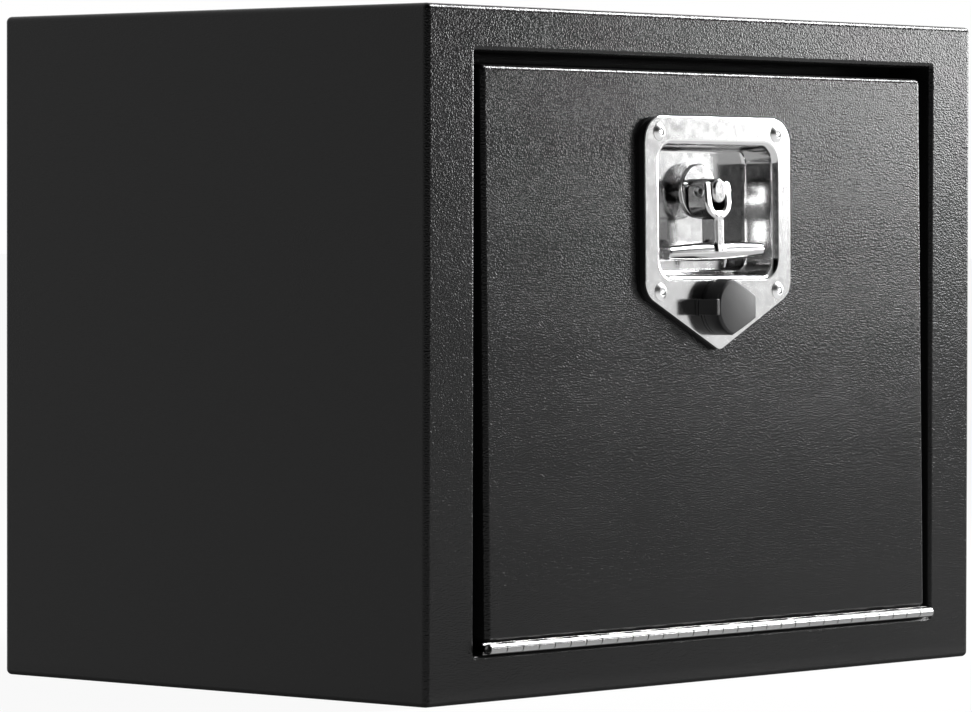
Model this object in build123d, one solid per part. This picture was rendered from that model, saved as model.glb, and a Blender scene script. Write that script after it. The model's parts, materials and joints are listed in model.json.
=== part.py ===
from build123d import *

import math
import os

# Underbody truck tool box: a folded steel box with a drop-down front door on a
# piano hinge, a folding T-handle latch in a pressed dish, and a key lock.
# Millimetres. X to the right, Y to the back, Z up, origin at the middle of the bottom.

# Box
box_width = 457.2
box_depth = 308.0
box_height = 355.6
body_sheet = 1.9
body_inside_bend = 1.1
weld_flange_width = 12.0

# Borders round the door opening
side_border = 36.95
top_border = 23.2
bottom_border = 24.6
opening_corner = 0.8
opening_bend = 2.5

# Stop flange and door seal
stop_flange_width = 14.0
stop_flange_corner = 8.0
seal_width = 8.0
seal_inset = 5.0
seal_corner = 6.0
seal_nose = 2.5
seal_free_depth = 10.3
seal_squeezed_depth = 6.0
sealing_gap = 0.3

# Door
door_side_gap = 6.9
door_top_gap = 6.6
door_proud = 2.2
door_depth = 21.0
door_sheet = 1.5
door_inside_bend = 1.5
door_lean = 0.85
liner_sheet = 1.2
liner_edge_depth = 8.0

# Piano hinge
hinge_end_gap = 4.9
knuckle_count = 30
knuckle_gap = 0.3
barrel_radius = 2.7
barrel_forward = 4.5
hinge_pin_radius = 1.2
hinge_pin_recess = 1.0
hinge_running_clearance = 0.05
leaf_sheet = 1.2
leaf_width = 21.0
leaf_joggle = 0.3
leaf_notch = 0.4
hinge_rivet_count = 8
hinge_rivet_shank_radius = 1.6
hinge_rivet_head_radius = 3.0
hinge_rivet_head_height = 0.9
hinge_rivet_tail_radius = 2.4
hinge_rivet_tail_height = 1.4

# Latch plate, which frames the dish
latch_below_door_top = 24.4
plate_side_border = 13.15
plate_side_below_dish = 10.7
plate_point_below_dish = 40.9
plate_sheet = 1.6
plate_top_corner = 14.0
plate_side_corner = 12.0
plate_point_corner = 6.0
gasket_sheet = 2.8
gasket_inset = 0.4

# Pressed dish
dish_width = 96.0
dish_height = 69.0
dish_depth = 21.0
dish_below_top = 15.2
dish_corner = 9.0
dish_draft = 3.2
dish_mouth_bend = 3.5
dish_floor_bend = 2.5
dish_window_gap = 4.6

# Latch rivets
rivet_inset = 11.85
upper_rivet_below_top = 8.5
lower_rivet_below_dish = 8.6
rivet_head_radius = 4.6
rivet_head_height = 2.4
rivet_shank_radius = 2.4
rivet_tail_radius = 3.6
rivet_tail_height = 3.0
rivet_tail_edge = 1.2
rivet_hole_radius = 1.9
rivet_hole_depth = 1.8
rivet_stem_radius = 1.3
rivet_stem_height = 1.0

# Spindle and its flange
spindle_below_dish_top = 24.0
spindle_radius = 5.0
spindle_clearance = 0.05
spindle_hole_clearance = 0.6
flange_radius = 14.6
flange_face_depth = 13.5
flange_thickness = 2.6
flange_groove_width = 0.7
flange_groove_depth = 0.5
flange_edge = 0.6
tongue_width = 10.7
tongue_height = 13.2
tongue_corner = 5.2
tongue_dome = 1.6
tongue_ahead = 1.0
square_side = 7.0
thread_radius = 3.4
thread_tail = 1.0

# Bearing bush behind the dish
bush_radius = 8.0
bush_flange_radius = 11.0
bush_length = 7.8
bush_hole_gap = 0.2
bush_end_gap = 0.3

# Latch cam and its nut
cam_sheet = 3.0
cam_reach = 68.0
cam_hub_radius = 11.0
cam_tip_radius = 7.0
cam_tail_reach = 45.0
cam_tail_radius = 4.0
cam_stop_gap = 0.6
cam_nut_flats = 13.0
cam_nut_height = 5.0
spacer_radius = 7.5

# Folding T-handle
yoke_width = 21.9
yoke_cheek = 5.2
yoke_web = 4.5
yoke_ahead = 0.7
yoke_depth = 13.8
yoke_above_axis = 5.3
yoke_below_axis = 15.1
yoke_outer_corner = 9.6
yoke_top_corner = 2.4
yoke_heel_corner = 5.0
stem_width = 7.6
stem_ahead = 0.5
stem_depth = 10.4
stem_corner = 1.6
bar_above_dish_bottom = 12.7
bar_back = 4.8
bar_side_gap = 8.25
bar_middle_radius = 5.1
bar_end_radius = 3.5
bar_end_edge = 1.4
bar_shape_share = 0.42
handle_tilt = 1.5

# Hollow cross pin of the handle
cross_pin_back = 4.6
cross_pin_radius = 3.2
cross_pin_bore_radius = 1.7
cross_pin_head_radius = 3.7
cross_pin_head_height = 0.9
cross_pin_recess_radius = 2.8
cross_pin_recess_depth = 2.2
cross_pin_clearance = 0.05

# Key lock
lock_offset = 0.3
lock_below_dish = 17.0
lock_body_radius = 8.0
lock_rim_radius = 9.8
lock_rim_height = 4.6
lock_rim_edge = 0.8
lock_body_length = 33.3
lock_nut_flats = 22.0
lock_nut_height = 4.0
lock_hole_gap = 0.3
plug_radius = 5.6
plug_clearance = 0.05
plug_face_recess = 0.3
keyway_width = 1.6
keyway_height = 7.0
keyway_depth = 9.0
pawl_sheet = 2.0
pawl_setback = 0.5
pawl_hub_radius = 6.0
pawl_arm_near = 5.0
pawl_arm_far = 11.0
pawl_reach = 24.0
pawl_bore_radius = 2.5
pawl_screw_head_radius = 4.5
pawl_screw_head_height = 2.5
pawl_screw_length = 9.0

# Rubber dust cap and its collar
collar_height = 0.8
cap_radius = 15.3
cap_flank_angle = 101.0
cap_nose_reach = 16.8
cap_nose_half = 6.0
cap_height = 12.3
cap_wall = 2.0
cap_edge = 1.2
cap_seat_gap = 0.3
tab_height = 8.6
tab_reach = 19.7
tab_sheet = 2.6
tab_ahead = 1.5
tab_web_depth = 2.4
tab_web_back = 3.0

# Cutting helpers
overrun = 2.0
tiny = 0.01

# Box places
front_y = -box_depth / 2
back_y = box_depth / 2
side_x = box_width / 2
body_bend = body_inside_bend + body_sheet
opening_width = box_width - 2 * side_border
opening_top = box_height - top_border
opening_height = opening_top - bottom_border
opening_middle = (opening_top + bottom_border) / 2

# Hinge places
hinge_length = opening_width - 2 * hinge_end_gap
hinge_y = front_y - barrel_forward
hinge_z = bottom_border + leaf_joggle + barrel_radius
hinge_bore_radius = hinge_pin_radius + hinge_running_clearance
leaf_offset = barrel_radius + leaf_joggle
leaf_start_y = hinge_y + barrel_radius + leaf_notch
leaf_end_y = hinge_y + leaf_width
rivet_row_y = hinge_y + leaf_width / 2
knuckle_pitch = hinge_length / knuckle_count

# Door places, with the door upright
door_face = front_y - door_proud
door_back = door_face + door_depth
door_inside = door_face + door_sheet
door_width = opening_width - 2 * door_side_gap
door_low = hinge_z + leaf_offset
door_top = opening_top - door_top_gap
door_bend = door_inside_bend + door_sheet
liner_front = door_back - liner_sheet

# The closed door leans in at its top, about the hinge
lean_angle = math.radians(door_lean)
hinge_axis = Axis((0, hinge_y, hinge_z), (1, 0, 0))


def leaned_depth(y, z):
    """How far back a point of the upright door stands once the door leans."""
    return hinge_y + (y - hinge_y) * math.cos(lean_angle) + (z - hinge_z) * math.sin(lean_angle)


def upright_depth(y, z):
    """The upright depth of what stands at depth y once the door leans."""
    return hinge_y + (y - hinge_y - (z - hinge_z) * math.sin(lean_angle)) / math.cos(lean_angle)


stop_face = leaned_depth(door_back, door_top) + sealing_gap + seal_squeezed_depth
stop_back = stop_face + body_sheet

# Latch places, with the door upright
latch_top = door_top - latch_below_door_top
gasket_face = door_face - gasket_sheet
plate_face = gasket_face - plate_sheet
dish_top = latch_top - dish_below_top
dish_bottom = dish_top - dish_height
dish_z = (dish_top + dish_bottom) / 2
dish_floor = plate_face + dish_depth
dish_behind = dish_floor + plate_sheet
dish_window_width = dish_width + 2 * dish_window_gap
dish_window_height = dish_height + 2 * dish_window_gap
dish_window_corner = dish_corner + dish_window_gap
plate_width = dish_width + 2 * plate_side_border
rivet_places = [
    (side * (plate_width / 2 - rivet_inset), z)
    for side in (-1, 1)
    for z in (latch_top - upper_rivet_below_top, dish_bottom - lower_rivet_below_dish)
]

# Spindle places
spindle_z = dish_top - spindle_below_dish_top
flange_face = plate_face + flange_face_depth
flange_back = flange_face + flange_thickness
bush_end = dish_behind + bush_length
cam_front = upright_depth(stop_back + cam_stop_gap, opening_top - stop_flange_width)
cam_back = cam_front + cam_sheet
cam_nut_back = cam_back + cam_nut_height
spindle_axis = Axis((0, plate_face, spindle_z), (0, -1, 0))

# Handle places
yoke_face = plate_face - yoke_ahead
stem_face = plate_face - stem_ahead
cross_pin_y = plate_face + cross_pin_back
cross_pin_bore = cross_pin_radius + cross_pin_clearance
bar_z = dish_bottom + bar_above_dish_bottom
bar_y = plate_face + bar_back
bar_length = dish_width - 2 * bar_side_gap

# Lock places
lock_z = dish_bottom - lock_below_dish
collar_face = plate_face - collar_height
lock_rim_face = collar_face - lock_rim_height
lock_body_end = collar_face + lock_body_length
pawl_front = cam_front + pawl_setback
pawl_back = pawl_front + pawl_sheet
cap_face = plate_face - cap_height
cap_seat = collar_face - cap_seat_gap
tab_face = cap_face - tab_ahead


def block(low, high):
    """A box between two corners."""
    size = [top - bottom for bottom, top in zip(low, high)]
    middle = [(top + bottom) / 2 for bottom, top in zip(low, high)]
    return Pos(*middle) * Box(*size)


def slab(sketch, near, far):
    """A front view outline made solid between two depths."""
    return extrude(Plane.XZ.offset(-far) * sketch, amount=far - near)


def rod(x, z, radius, near, far):
    """A round bar that runs from front to back."""
    return slab(Pos(x, z) * Circle(radius), near, far)


def across(sketch, left, right):
    """A side view outline made solid from left to right."""
    return extrude(Plane.YZ.offset(left) * sketch, amount=right - left)


def post(x, y, radius, low, high):
    """A round bar that stands upright."""
    return extrude(Plane.XY.offset(low) * Pos(x, y) * Circle(radius), amount=high - low)


def leaned(part):
    """A door piece, built upright, turned to its closed place."""
    return part.rotate(hinge_axis, -door_lean)


def tilted(part):
    """A piece of the spindle or handle, turned a little about the spindle."""
    return part.rotate(spindle_axis, handle_tilt)


def rim_edges(part, depth, half_width, low, high):
    """The edges that lie wholly at one depth inside a front view window."""
    chosen = []
    for edge in part.edges():
        bounds = edge.bounding_box()
        at_depth = abs(bounds.min.Y - depth) < tiny and abs(bounds.max.Y - depth) < tiny
        inside = bounds.max.X < half_width and bounds.min.X > -half_width
        if at_depth and inside and bounds.min.Z > low and bounds.max.Z < high:
            chosen.append(edge)
    return chosen


def box_shell():
    """The whole sheet box, closed, with rounded folds."""
    outer = block((-side_x, front_y, 0), (side_x, back_y, box_height))
    inner = block(
        (-side_x + body_sheet, front_y + body_sheet, body_sheet),
        (side_x - body_sheet, back_y - body_sheet, box_height - body_sheet),
    )
    outer = fillet(outer.edges(), body_bend)
    inner = fillet(inner.edges(), body_inside_bend)
    return outer - inner


def opening_outline(grow, corner):
    """The door opening in front view, larger by grow on every side."""
    width = opening_width + 2 * grow
    height = opening_height + 2 * grow
    return Pos(0, opening_middle) * RectangleRounded(width, height, corner)


def front_frame(shell):
    """Front sheet: borders, edges turned in round the opening, and the stop flange."""
    front_part = block(
        (-box_width, front_y - overrun, -overrun),
        (box_width, front_y + body_bend, box_height + overrun),
    )
    tube = slab(opening_outline(body_sheet, opening_corner + body_sheet), front_y, stop_back)
    opening = slab(opening_outline(0, opening_corner), front_y - overrun, stop_face)
    way_in = slab(opening_outline(-stop_flange_width, stop_flange_corner), front_y, stop_back + overrun)
    frame = (shell & front_part) + tube - opening - way_in
    limit = opening_width / 2 + tiny
    mouth = rim_edges(frame, front_y, limit, bottom_border - tiny, opening_top + tiny)
    frame = fillet(mouth, opening_bend)
    return frame - hinge_rivet_shanks(-1)


def body_wrap(shell):
    """Top, back and bottom sheet."""
    middle = block(
        (-side_x + body_bend, front_y + body_bend, -overrun),
        (side_x - body_bend, back_y + overrun, box_height + overrun),
    )
    return shell & middle


def end_panel(shell, side):
    """Side sheet with its folded edges and the weld flange inside the wrap."""
    seam_x = side_x - body_bend
    xs = sorted((side * seam_x, side * (side_x + overrun)))
    outside = block(
        (xs[0], front_y + body_bend, -overrun),
        (xs[1], back_y + overrun, box_height + overrun),
    )
    flange_xs = sorted((side * (seam_x - weld_flange_width), side * (side_x - body_sheet)))
    flange = block(
        (flange_xs[0], front_y + body_bend, body_sheet),
        (flange_xs[1], back_y - body_sheet, box_height - body_sheet),
    )
    folds = [
        edge for edge in flange.edges().filter_by(Axis.X)
        if edge.center().Y > 0
    ]
    flange = fillet(folds, body_inside_bend)
    hollow_xs = sorted((side * (seam_x - weld_flange_width - overrun), side * (side_x - body_sheet)))
    hollow = block(
        (hollow_xs[0], front_y, 2 * body_sheet),
        (hollow_xs[1], back_y - 2 * body_sheet, box_height - 2 * body_sheet),
    )
    return (shell & outside) + (flange - hollow)


def door_seal():
    """Rubber seal on the stop flange, pressed flat where the door meets it."""
    outer = opening_outline(-seal_inset, seal_corner)
    inner = opening_outline(-seal_inset - seal_width, seal_corner)
    near = stop_face - seal_free_depth
    ring = slab(outer - inner, near, stop_face)
    limit = opening_width / 2
    ring = fillet(rim_edges(ring, near, limit, 0, box_height), seal_nose)
    door_side = block(
        (-box_width, front_y - box_depth, -box_height),
        (box_width, door_back + sealing_gap, 2 * box_height),
    )
    return ring - leaned(door_side)


def leaf_heights(side):
    """Outer and inner height of a hinge leaf: side -1 is the box's, 1 the door's."""
    outer = hinge_z + side * leaf_offset
    return outer, outer - side * leaf_sheet


def hinge_rivet_places():
    """The places along the hinge of its rivets."""
    step = hinge_length / hinge_rivet_count
    first = (step - hinge_length) / 2
    return [first + step * i for i in range(hinge_rivet_count)]


def hinge_rivet_shanks(side):
    """The rivet shanks through a leaf and the sheet that it lies on."""
    outer, inner = leaf_heights(side)
    sheet = body_sheet if side < 0 else door_sheet
    low, high = sorted((inner, outer + side * sheet))
    shanks = [post(x, rivet_row_y, hinge_rivet_shank_radius, low, high) for x in hinge_rivet_places()]
    return Part() + shanks


def hinge_leaf(side):
    """A hinge leaf with every second knuckle rolled round the pin."""
    outer, inner = leaf_heights(side)
    low, high = sorted((outer, inner))
    plate = block(
        (-hinge_length / 2, leaf_start_y, low),
        (hinge_length / 2, leaf_end_y, high),
    )
    tab_width = leaf_start_y - hinge_y
    tab = Pos(hinge_y + tab_width / 2, (low + high) / 2) * Rectangle(tab_width, high - low)
    outline = Pos(hinge_y, hinge_z) * Circle(barrel_radius) + tab
    outline = outline - Pos(hinge_y, hinge_z) * Circle(hinge_bore_radius)
    first = 0 if side < 0 else 1
    lefts = [-hinge_length / 2 + knuckle_pitch * i for i in range(first, knuckle_count, 2)]
    knuckles = [
        across(outline, left + knuckle_gap / 2, left + knuckle_pitch - knuckle_gap / 2)
        for left in lefts
    ]
    return plate + knuckles - hinge_rivet_shanks(side)


def hinge_rivets(side):
    """Flat headed rivets that hold a hinge leaf to its sheet."""
    outer, inner = leaf_heights(side)
    sheet = body_sheet if side < 0 else door_sheet
    far = outer + side * sheet
    head_low, head_high = sorted((inner, inner - side * hinge_rivet_head_height))
    tail_low, tail_high = sorted((far, far + side * hinge_rivet_tail_height))
    rivets = []
    for x in hinge_rivet_places():
        low, high = sorted((inner, far))
        shank = post(x, rivet_row_y, hinge_rivet_shank_radius, low, high)
        head = post(x, rivet_row_y, hinge_rivet_head_radius, head_low, head_high)
        tail = post(x, rivet_row_y, hinge_rivet_tail_radius, tail_low, tail_high)
        rivets.append(head + shank + tail)
    return rivets


def hinge_pin():
    """The pin through all the knuckles."""
    reach = hinge_length / 2 - hinge_pin_recess
    return across(Pos(hinge_y, hinge_z) * Circle(hinge_pin_radius), -reach, reach)


def door_window(near, far):
    """The window for the dish."""
    outline = RectangleRounded(dish_window_width, dish_window_height, dish_window_corner)
    return slab(Pos(0, dish_z) * outline, near, far)


def rivet_holes(near, far):
    """Holes for the latch rivets."""
    return Part() + [rod(x, z, rivet_shank_radius, near, far) for x, z in rivet_places]


def door_skin():
    """Folded pan with the window for the dish and the holes of the latch."""
    outer = block((-door_width / 2, door_face, door_low), (door_width / 2, door_back, door_top))
    inner = block(
        (-door_width / 2 + door_sheet, door_inside, door_low + door_sheet),
        (door_width / 2 - door_sheet, door_back + overrun, door_top - door_sheet),
    )
    outer = fillet([e for e in outer.edges() if e.center().Y < door_back - tiny], door_bend)
    inner = fillet([e for e in inner.edges() if e.center().Y < door_back], door_inside_bend)
    skin = outer - inner - door_window(door_face - overrun, door_inside + overrun)
    skin = skin - rivet_holes(door_face - overrun, door_inside + overrun)
    skin = skin - rod(lock_offset, lock_z, lock_body_radius, door_face - overrun, door_inside + overrun)
    return skin - hinge_rivet_shanks(1)


def door_liner():
    """Inner door panel, a shallow pan nested in the skin."""
    half = door_width / 2 - door_sheet
    near = door_back - liner_edge_depth
    outer = block((-half, near, door_low + door_sheet), (half, door_back, door_top - door_sheet))
    outer = fillet(outer.edges().filter_by(Axis.Y), door_inside_bend)
    inset = door_sheet + liner_sheet
    inner = block(
        (-door_width / 2 + inset, near - overrun, door_low + inset),
        (door_width / 2 - inset, liner_front, door_top - inset),
    )
    liner = outer - inner
    liner = liner - rod(0, spindle_z, bush_radius + bush_hole_gap, near, door_back + overrun)
    return liner - rod(lock_offset, lock_z, lock_body_radius + lock_hole_gap, near, door_back + overrun)


def latch_outline():
    """Five-sided outline of the latch plate with rounded corners."""
    half = plate_width / 2
    side_z = dish_bottom - plate_side_below_dish
    corners = [
        (-half, latch_top, plate_top_corner),
        (half, latch_top, plate_top_corner),
        (half, side_z, plate_side_corner),
        (0, dish_bottom - plate_point_below_dish, plate_point_corner),
        (-half, side_z, plate_side_corner),
    ]
    outline = make_face(Polyline(*[(x, z) for x, z, radius in corners], close=True))
    for x, z, radius in corners:
        corner = outline.vertices().sort_by_distance((x, z, 0))[0]
        outline = fillet(corner, radius)
    return outline


def dish_form(grow, near, far, floor_bend):
    """The dish as a solid plug: grow is 0 inside and the sheet outside."""
    draw_in = (far - near) * math.tan(math.radians(dish_draft))
    mouth = RectangleRounded(dish_width + 2 * grow, dish_height + 2 * grow, dish_corner + grow)
    floor = RectangleRounded(
        dish_width + 2 * (grow - draw_in),
        dish_height + 2 * (grow - draw_in),
        dish_corner + grow - draw_in,
    )
    place = Pos(0, dish_z)
    sections = [Plane.XZ.offset(-near) * (place * mouth), Plane.XZ.offset(-far) * (place * floor)]
    plug = loft([section.face() for section in sections])
    return fillet(rim_edges(plug, far, dish_width, 0, box_height), floor_bend)


def latch_plate():
    """Stainless plate with the dish pressed into it."""
    plate = slab(latch_outline(), plate_face, gasket_face)
    outside = dish_form(plate_sheet, plate_face, dish_behind, dish_floor_bend + plate_sheet)
    inside = dish_form(0, plate_face, dish_floor, dish_floor_bend)
    part = plate + outside - inside
    low = dish_z - dish_height / 2 - tiny
    high = dish_z + dish_height / 2 + tiny
    mouth = rim_edges(part, plate_face, dish_width / 2 + tiny, low, high)
    part = fillet(mouth, dish_mouth_bend)
    part = part - rivet_holes(plate_face - overrun, gasket_face + overrun)
    part = part - rod(lock_offset, lock_z, lock_body_radius, plate_face - overrun, gasket_face + overrun)
    hole = spindle_radius + spindle_hole_clearance
    return part - rod(0, spindle_z, hole, dish_floor - overrun, dish_behind + overrun)


def latch_gasket():
    """Black gasket between the plate and the door."""
    gasket = slab(offset(latch_outline(), -gasket_inset), gasket_face, door_face)
    gasket = gasket - door_window(gasket_face - overrun, door_face + overrun)
    gasket = gasket - rivet_holes(gasket_face - overrun, door_face + overrun)
    return gasket - rod(lock_offset, lock_z, lock_body_radius, gasket_face - overrun, door_face + overrun)


def latch_rivet(x, z):
    """Dome head with a hollow centre, the rest of its stem, its shank and its tail."""
    ball = (rivet_head_radius ** 2 + rivet_head_height ** 2) / (2 * rivet_head_height)
    dome = Pos(x, plate_face - rivet_head_height + ball, z) * Sphere(ball)
    around = rod(x, z, rivet_head_radius + overrun, plate_face - rivet_head_height - overrun, plate_face)
    head = dome & around
    head_top = plate_face - rivet_head_height
    hollow = rod(x, z, rivet_hole_radius, head_top - overrun, head_top + rivet_hole_depth)
    stem_top = head_top + rivet_hole_depth - rivet_stem_height
    stem = rod(x, z, rivet_stem_radius, stem_top, plate_face)
    shank = rod(x, z, rivet_shank_radius, plate_face, door_inside)
    tail = rod(x, z, rivet_tail_radius, door_inside, door_inside + rivet_tail_height)
    tail = fillet(tail.edges().sort_by(Axis.Y)[-1:], rivet_tail_edge)
    return head - hollow + stem + shank + tail


def spindle_bush():
    """Flanged bearing between the dish and the liner."""
    bush = rod(0, spindle_z, bush_radius, dish_behind, bush_end)
    bush = bush + rod(0, spindle_z, bush_flange_radius, dish_behind, liner_front)
    return bush - rod(0, spindle_z, spindle_radius + spindle_clearance, dish_behind - overrun, bush_end + overrun)


def spindle():
    """Tongue for the handle, round shaft, square for the cam and thread."""
    outline = Pos(0, spindle_z) * RectangleRounded(tongue_width, tongue_height, tongue_corner)
    tip = plate_face - tongue_ahead
    tongue = slab(outline, tip, flange_face)
    tongue = fillet(rim_edges(tongue, tip, tongue_width, 0, box_height), tongue_dome)
    bore = across(Pos(cross_pin_y, spindle_z) * Circle(cross_pin_bore), -yoke_width, yoke_width)
    shaft = rod(0, spindle_z, spindle_radius, flange_face, cam_front)
    square = slab(Pos(0, spindle_z) * Rectangle(square_side, square_side), cam_front, cam_back)
    thread = rod(0, spindle_z, thread_radius, cam_back, cam_nut_back + thread_tail)
    return tilted(tongue - bore + shaft + square + thread)


def spindle_flange():
    """Round flange in front of the dish floor, with a groove round its rim."""
    flange = rod(0, spindle_z, flange_radius, flange_face, flange_back)
    flange = chamfer(rim_edges(flange, flange_face, flange_radius + tiny, 0, box_height), flange_edge)
    middle = (flange_face + flange_back) / 2
    near = middle - flange_groove_width / 2
    far = middle + flange_groove_width / 2
    groove = rod(0, spindle_z, flange_radius + overrun, near, far)
    groove = groove - rod(0, spindle_z, flange_radius - flange_groove_depth, near, far)
    shaft = rod(0, spindle_z, spindle_radius, flange_face - overrun, flange_back + overrun)
    return tilted(flange - groove - shaft)


def cam_spacer():
    """Spacer on the shaft between the bush and the cam."""
    spacer = rod(0, spindle_z, spacer_radius, bush_end + bush_end_gap, cam_front)
    return spacer - rod(0, spindle_z, spindle_radius, bush_end, cam_front + overrun)


def arm_outline(reach, root_radius, tip_radius):
    """A tapered arm along x from a round root to a round tip."""
    tip_x = reach - math.copysign(tip_radius, reach)
    slope = math.asin((root_radius - tip_radius) / abs(tip_x))
    lean_x = math.copysign(math.sin(slope), reach)
    rise = math.cos(slope)
    sides = Polyline(
        (root_radius * lean_x, root_radius * rise),
        (tip_x + tip_radius * lean_x, tip_radius * rise),
        (tip_x + tip_radius * lean_x, -tip_radius * rise),
        (root_radius * lean_x, -root_radius * rise),
        close=True,
    )
    return Circle(root_radius) + make_face(sides) + Pos(tip_x, 0) * Circle(tip_radius)


def latch_cam():
    """Latch arm, drawn released: it points sideways and its tail the other way."""
    outline = arm_outline(cam_reach, cam_hub_radius, cam_tip_radius)
    outline = outline + arm_outline(-cam_tail_reach, cam_hub_radius, cam_tail_radius)
    outline = outline - Rectangle(square_side, square_side)
    return tilted(slab(Pos(0, spindle_z) * outline, cam_front, cam_back))


def hexagon(x, z, flats, near, far):
    """A six-sided bar that runs from front to back."""
    return slab(Pos(x, z) * RegularPolygon(flats / 2, 6, major_radius=False), near, far)


def cam_nut():
    """Nut that holds the cam on the spindle."""
    nut = hexagon(0, spindle_z, cam_nut_flats, cam_back, cam_nut_back)
    return nut - rod(0, spindle_z, thread_radius, cam_back - overrun, cam_nut_back + overrun)


def handle_yoke():
    """Yoke that straddles the spindle's tongue, open at the top."""
    low = spindle_z - yoke_below_axis
    high = spindle_z + yoke_above_axis
    height = high - low
    outer = Pos(0, (low + high) / 2) * Rectangle(yoke_width, height)
    for side in (-1, 1):
        foot = outer.vertices().sort_by_distance((side * yoke_width / 2, low, 0))[0]
        outer = fillet(foot, yoke_outer_corner)
        top = outer.vertices().sort_by_distance((side * yoke_width / 2, high, 0))[0]
        outer = fillet(top, yoke_top_corner)
    slot_width = yoke_width - 2 * yoke_cheek
    slot_low = low + yoke_web
    slot_high = high + overrun
    slot = Pos(0, (slot_low + slot_high) / 2) * Rectangle(slot_width, slot_high - slot_low)
    for side in (-1, 1):
        foot = slot.vertices().sort_by_distance((side * slot_width / 2, slot_low, 0))[0]
        slot = fillet(foot, yoke_outer_corner - yoke_cheek)
    yoke_back = yoke_face + yoke_depth
    yoke = slab(outer - slot, yoke_face, yoke_back)
    side_view = Pos((yoke_face + yoke_back) / 2, (low + high) / 2) * Rectangle(yoke_depth, height)
    heel = side_view.vertices().sort_by_distance((yoke_back, high, 0))[0]
    side_view = fillet(heel, yoke_heel_corner)
    return yoke & across(side_view, -yoke_width, yoke_width)


def handle_bar():
    """Cross bar that swells to the middle."""
    half = bar_length / 2
    shoulder = half * bar_shape_share
    side = Spline(
        (-half, bar_end_radius),
        (-shoulder, bar_middle_radius - (bar_middle_radius - bar_end_radius) * bar_shape_share ** 2),
        (0, bar_middle_radius),
        (shoulder, bar_middle_radius - (bar_middle_radius - bar_end_radius) * bar_shape_share ** 2),
        (half, bar_end_radius),
    )
    rest = Polyline((-half, bar_end_radius), (-half, 0), (half, 0), (half, bar_end_radius))
    profile = make_face([side, rest])
    bar = revolve(profile, Axis.X, 360)
    ends = [e for e in bar.edges() if e.geom_type == GeomType.CIRCLE]
    bar = fillet(ends, bar_end_edge)
    return Pos(0, bar_y, bar_z) * bar


def t_handle():
    """Folding handle: yoke, stem and bar in one casting."""
    web_low = spindle_z - yoke_below_axis
    stem_outline = Pos(0, stem_face + stem_depth / 2) * RectangleRounded(stem_width, stem_depth, stem_corner)
    stem = extrude(Plane.XY.offset(bar_z) * stem_outline, amount=web_low + yoke_web / 2 - bar_z)
    handle = handle_yoke() + stem + handle_bar()
    hole = across(Pos(cross_pin_y, spindle_z) * Circle(cross_pin_radius), -yoke_width, yoke_width)
    return tilted(handle - hole)


def handle_pin():
    """Hollow cross pin with a rolled head at each end."""
    half = yoke_width / 2
    reach = half + cross_pin_head_height
    centre = Pos(cross_pin_y, spindle_z)
    pin = across(centre * Circle(cross_pin_radius), -half, half)
    bore = across(centre * Circle(cross_pin_bore_radius), -reach, reach)
    for side in (-1, 1):
        left, right = sorted((side * half, side * reach))
        pin = pin + across(centre * Circle(cross_pin_head_radius), left, right)
        left, right = sorted((side * (reach - cross_pin_recess_depth), side * reach))
        bore = bore + across(centre * Circle(cross_pin_recess_radius), left, right)
    return tilted(pin - bore)


def lock_housing():
    """Lock body with its rim in front of the collar."""
    rim = rod(lock_offset, lock_z, lock_rim_radius, lock_rim_face, collar_face)
    rim = fillet(rim_edges(rim, lock_rim_face, box_width, 0, box_height), lock_rim_edge)
    body = rod(lock_offset, lock_z, lock_body_radius, collar_face, lock_body_end)
    bore = plug_radius + plug_clearance
    return rim + body - rod(lock_offset, lock_z, bore, lock_rim_face - overrun, lock_body_end + overrun)


def lock_nut():
    """Nut behind the door skin."""
    far = door_inside + lock_nut_height
    nut = hexagon(lock_offset, lock_z, lock_nut_flats, door_inside, far)
    return nut - rod(lock_offset, lock_z, lock_body_radius, door_inside - overrun, far + overrun)


def lock_plug():
    """Key plug with its keyway, and the seat for the pawl."""
    near = lock_rim_face + plug_face_recess
    plug = rod(lock_offset, lock_z, plug_radius, near, pawl_front)
    keyway = slab(
        Pos(lock_offset, lock_z) * Rectangle(keyway_width, keyway_height),
        near - overrun,
        near + keyway_depth,
    )
    screw = rod(lock_offset, lock_z, pawl_bore_radius, pawl_back - pawl_screw_length, pawl_front + overrun)
    return plug - keyway - screw


def lock_pawl():
    """Cranked arm that stands beside the cam's tail when the lock is turned."""
    arm = Pos(-pawl_reach / 2, -(pawl_arm_near + pawl_arm_far) / 2)
    outline = arm * Rectangle(pawl_reach, pawl_arm_far - pawl_arm_near)
    neck = Pos(-pawl_hub_radius / 2, -pawl_arm_far / 2) * Rectangle(pawl_hub_radius, pawl_arm_far)
    outline = outline + neck + Circle(pawl_hub_radius)
    outline = outline - Circle(pawl_bore_radius)
    return slab(Pos(lock_offset, lock_z) * outline, pawl_front, pawl_back)


def pawl_screw():
    """Screw that holds the pawl on the plug."""
    shank = rod(lock_offset, lock_z, pawl_bore_radius, pawl_back - pawl_screw_length, pawl_back)
    head = rod(
        lock_offset, lock_z, pawl_screw_head_radius, pawl_back, pawl_back + pawl_screw_head_height
    )
    return shank + head


def cap_outline(grow):
    """Round on its left, with straight flanks that run to a flat nose; grow makes it larger all round."""
    radius = cap_radius + grow
    reach = cap_nose_reach + grow
    half = cap_nose_half + grow / 2
    flank_x = radius * math.cos(math.radians(cap_flank_angle))
    flank_z = radius * math.sin(math.radians(cap_flank_angle))
    arc = CenterArc((0, 0), radius, cap_flank_angle, 360 - 2 * cap_flank_angle)
    nose = Polyline((flank_x, flank_z), (reach, half), (reach, -half), (flank_x, -flank_z))
    return make_face([arc, nose])


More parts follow.
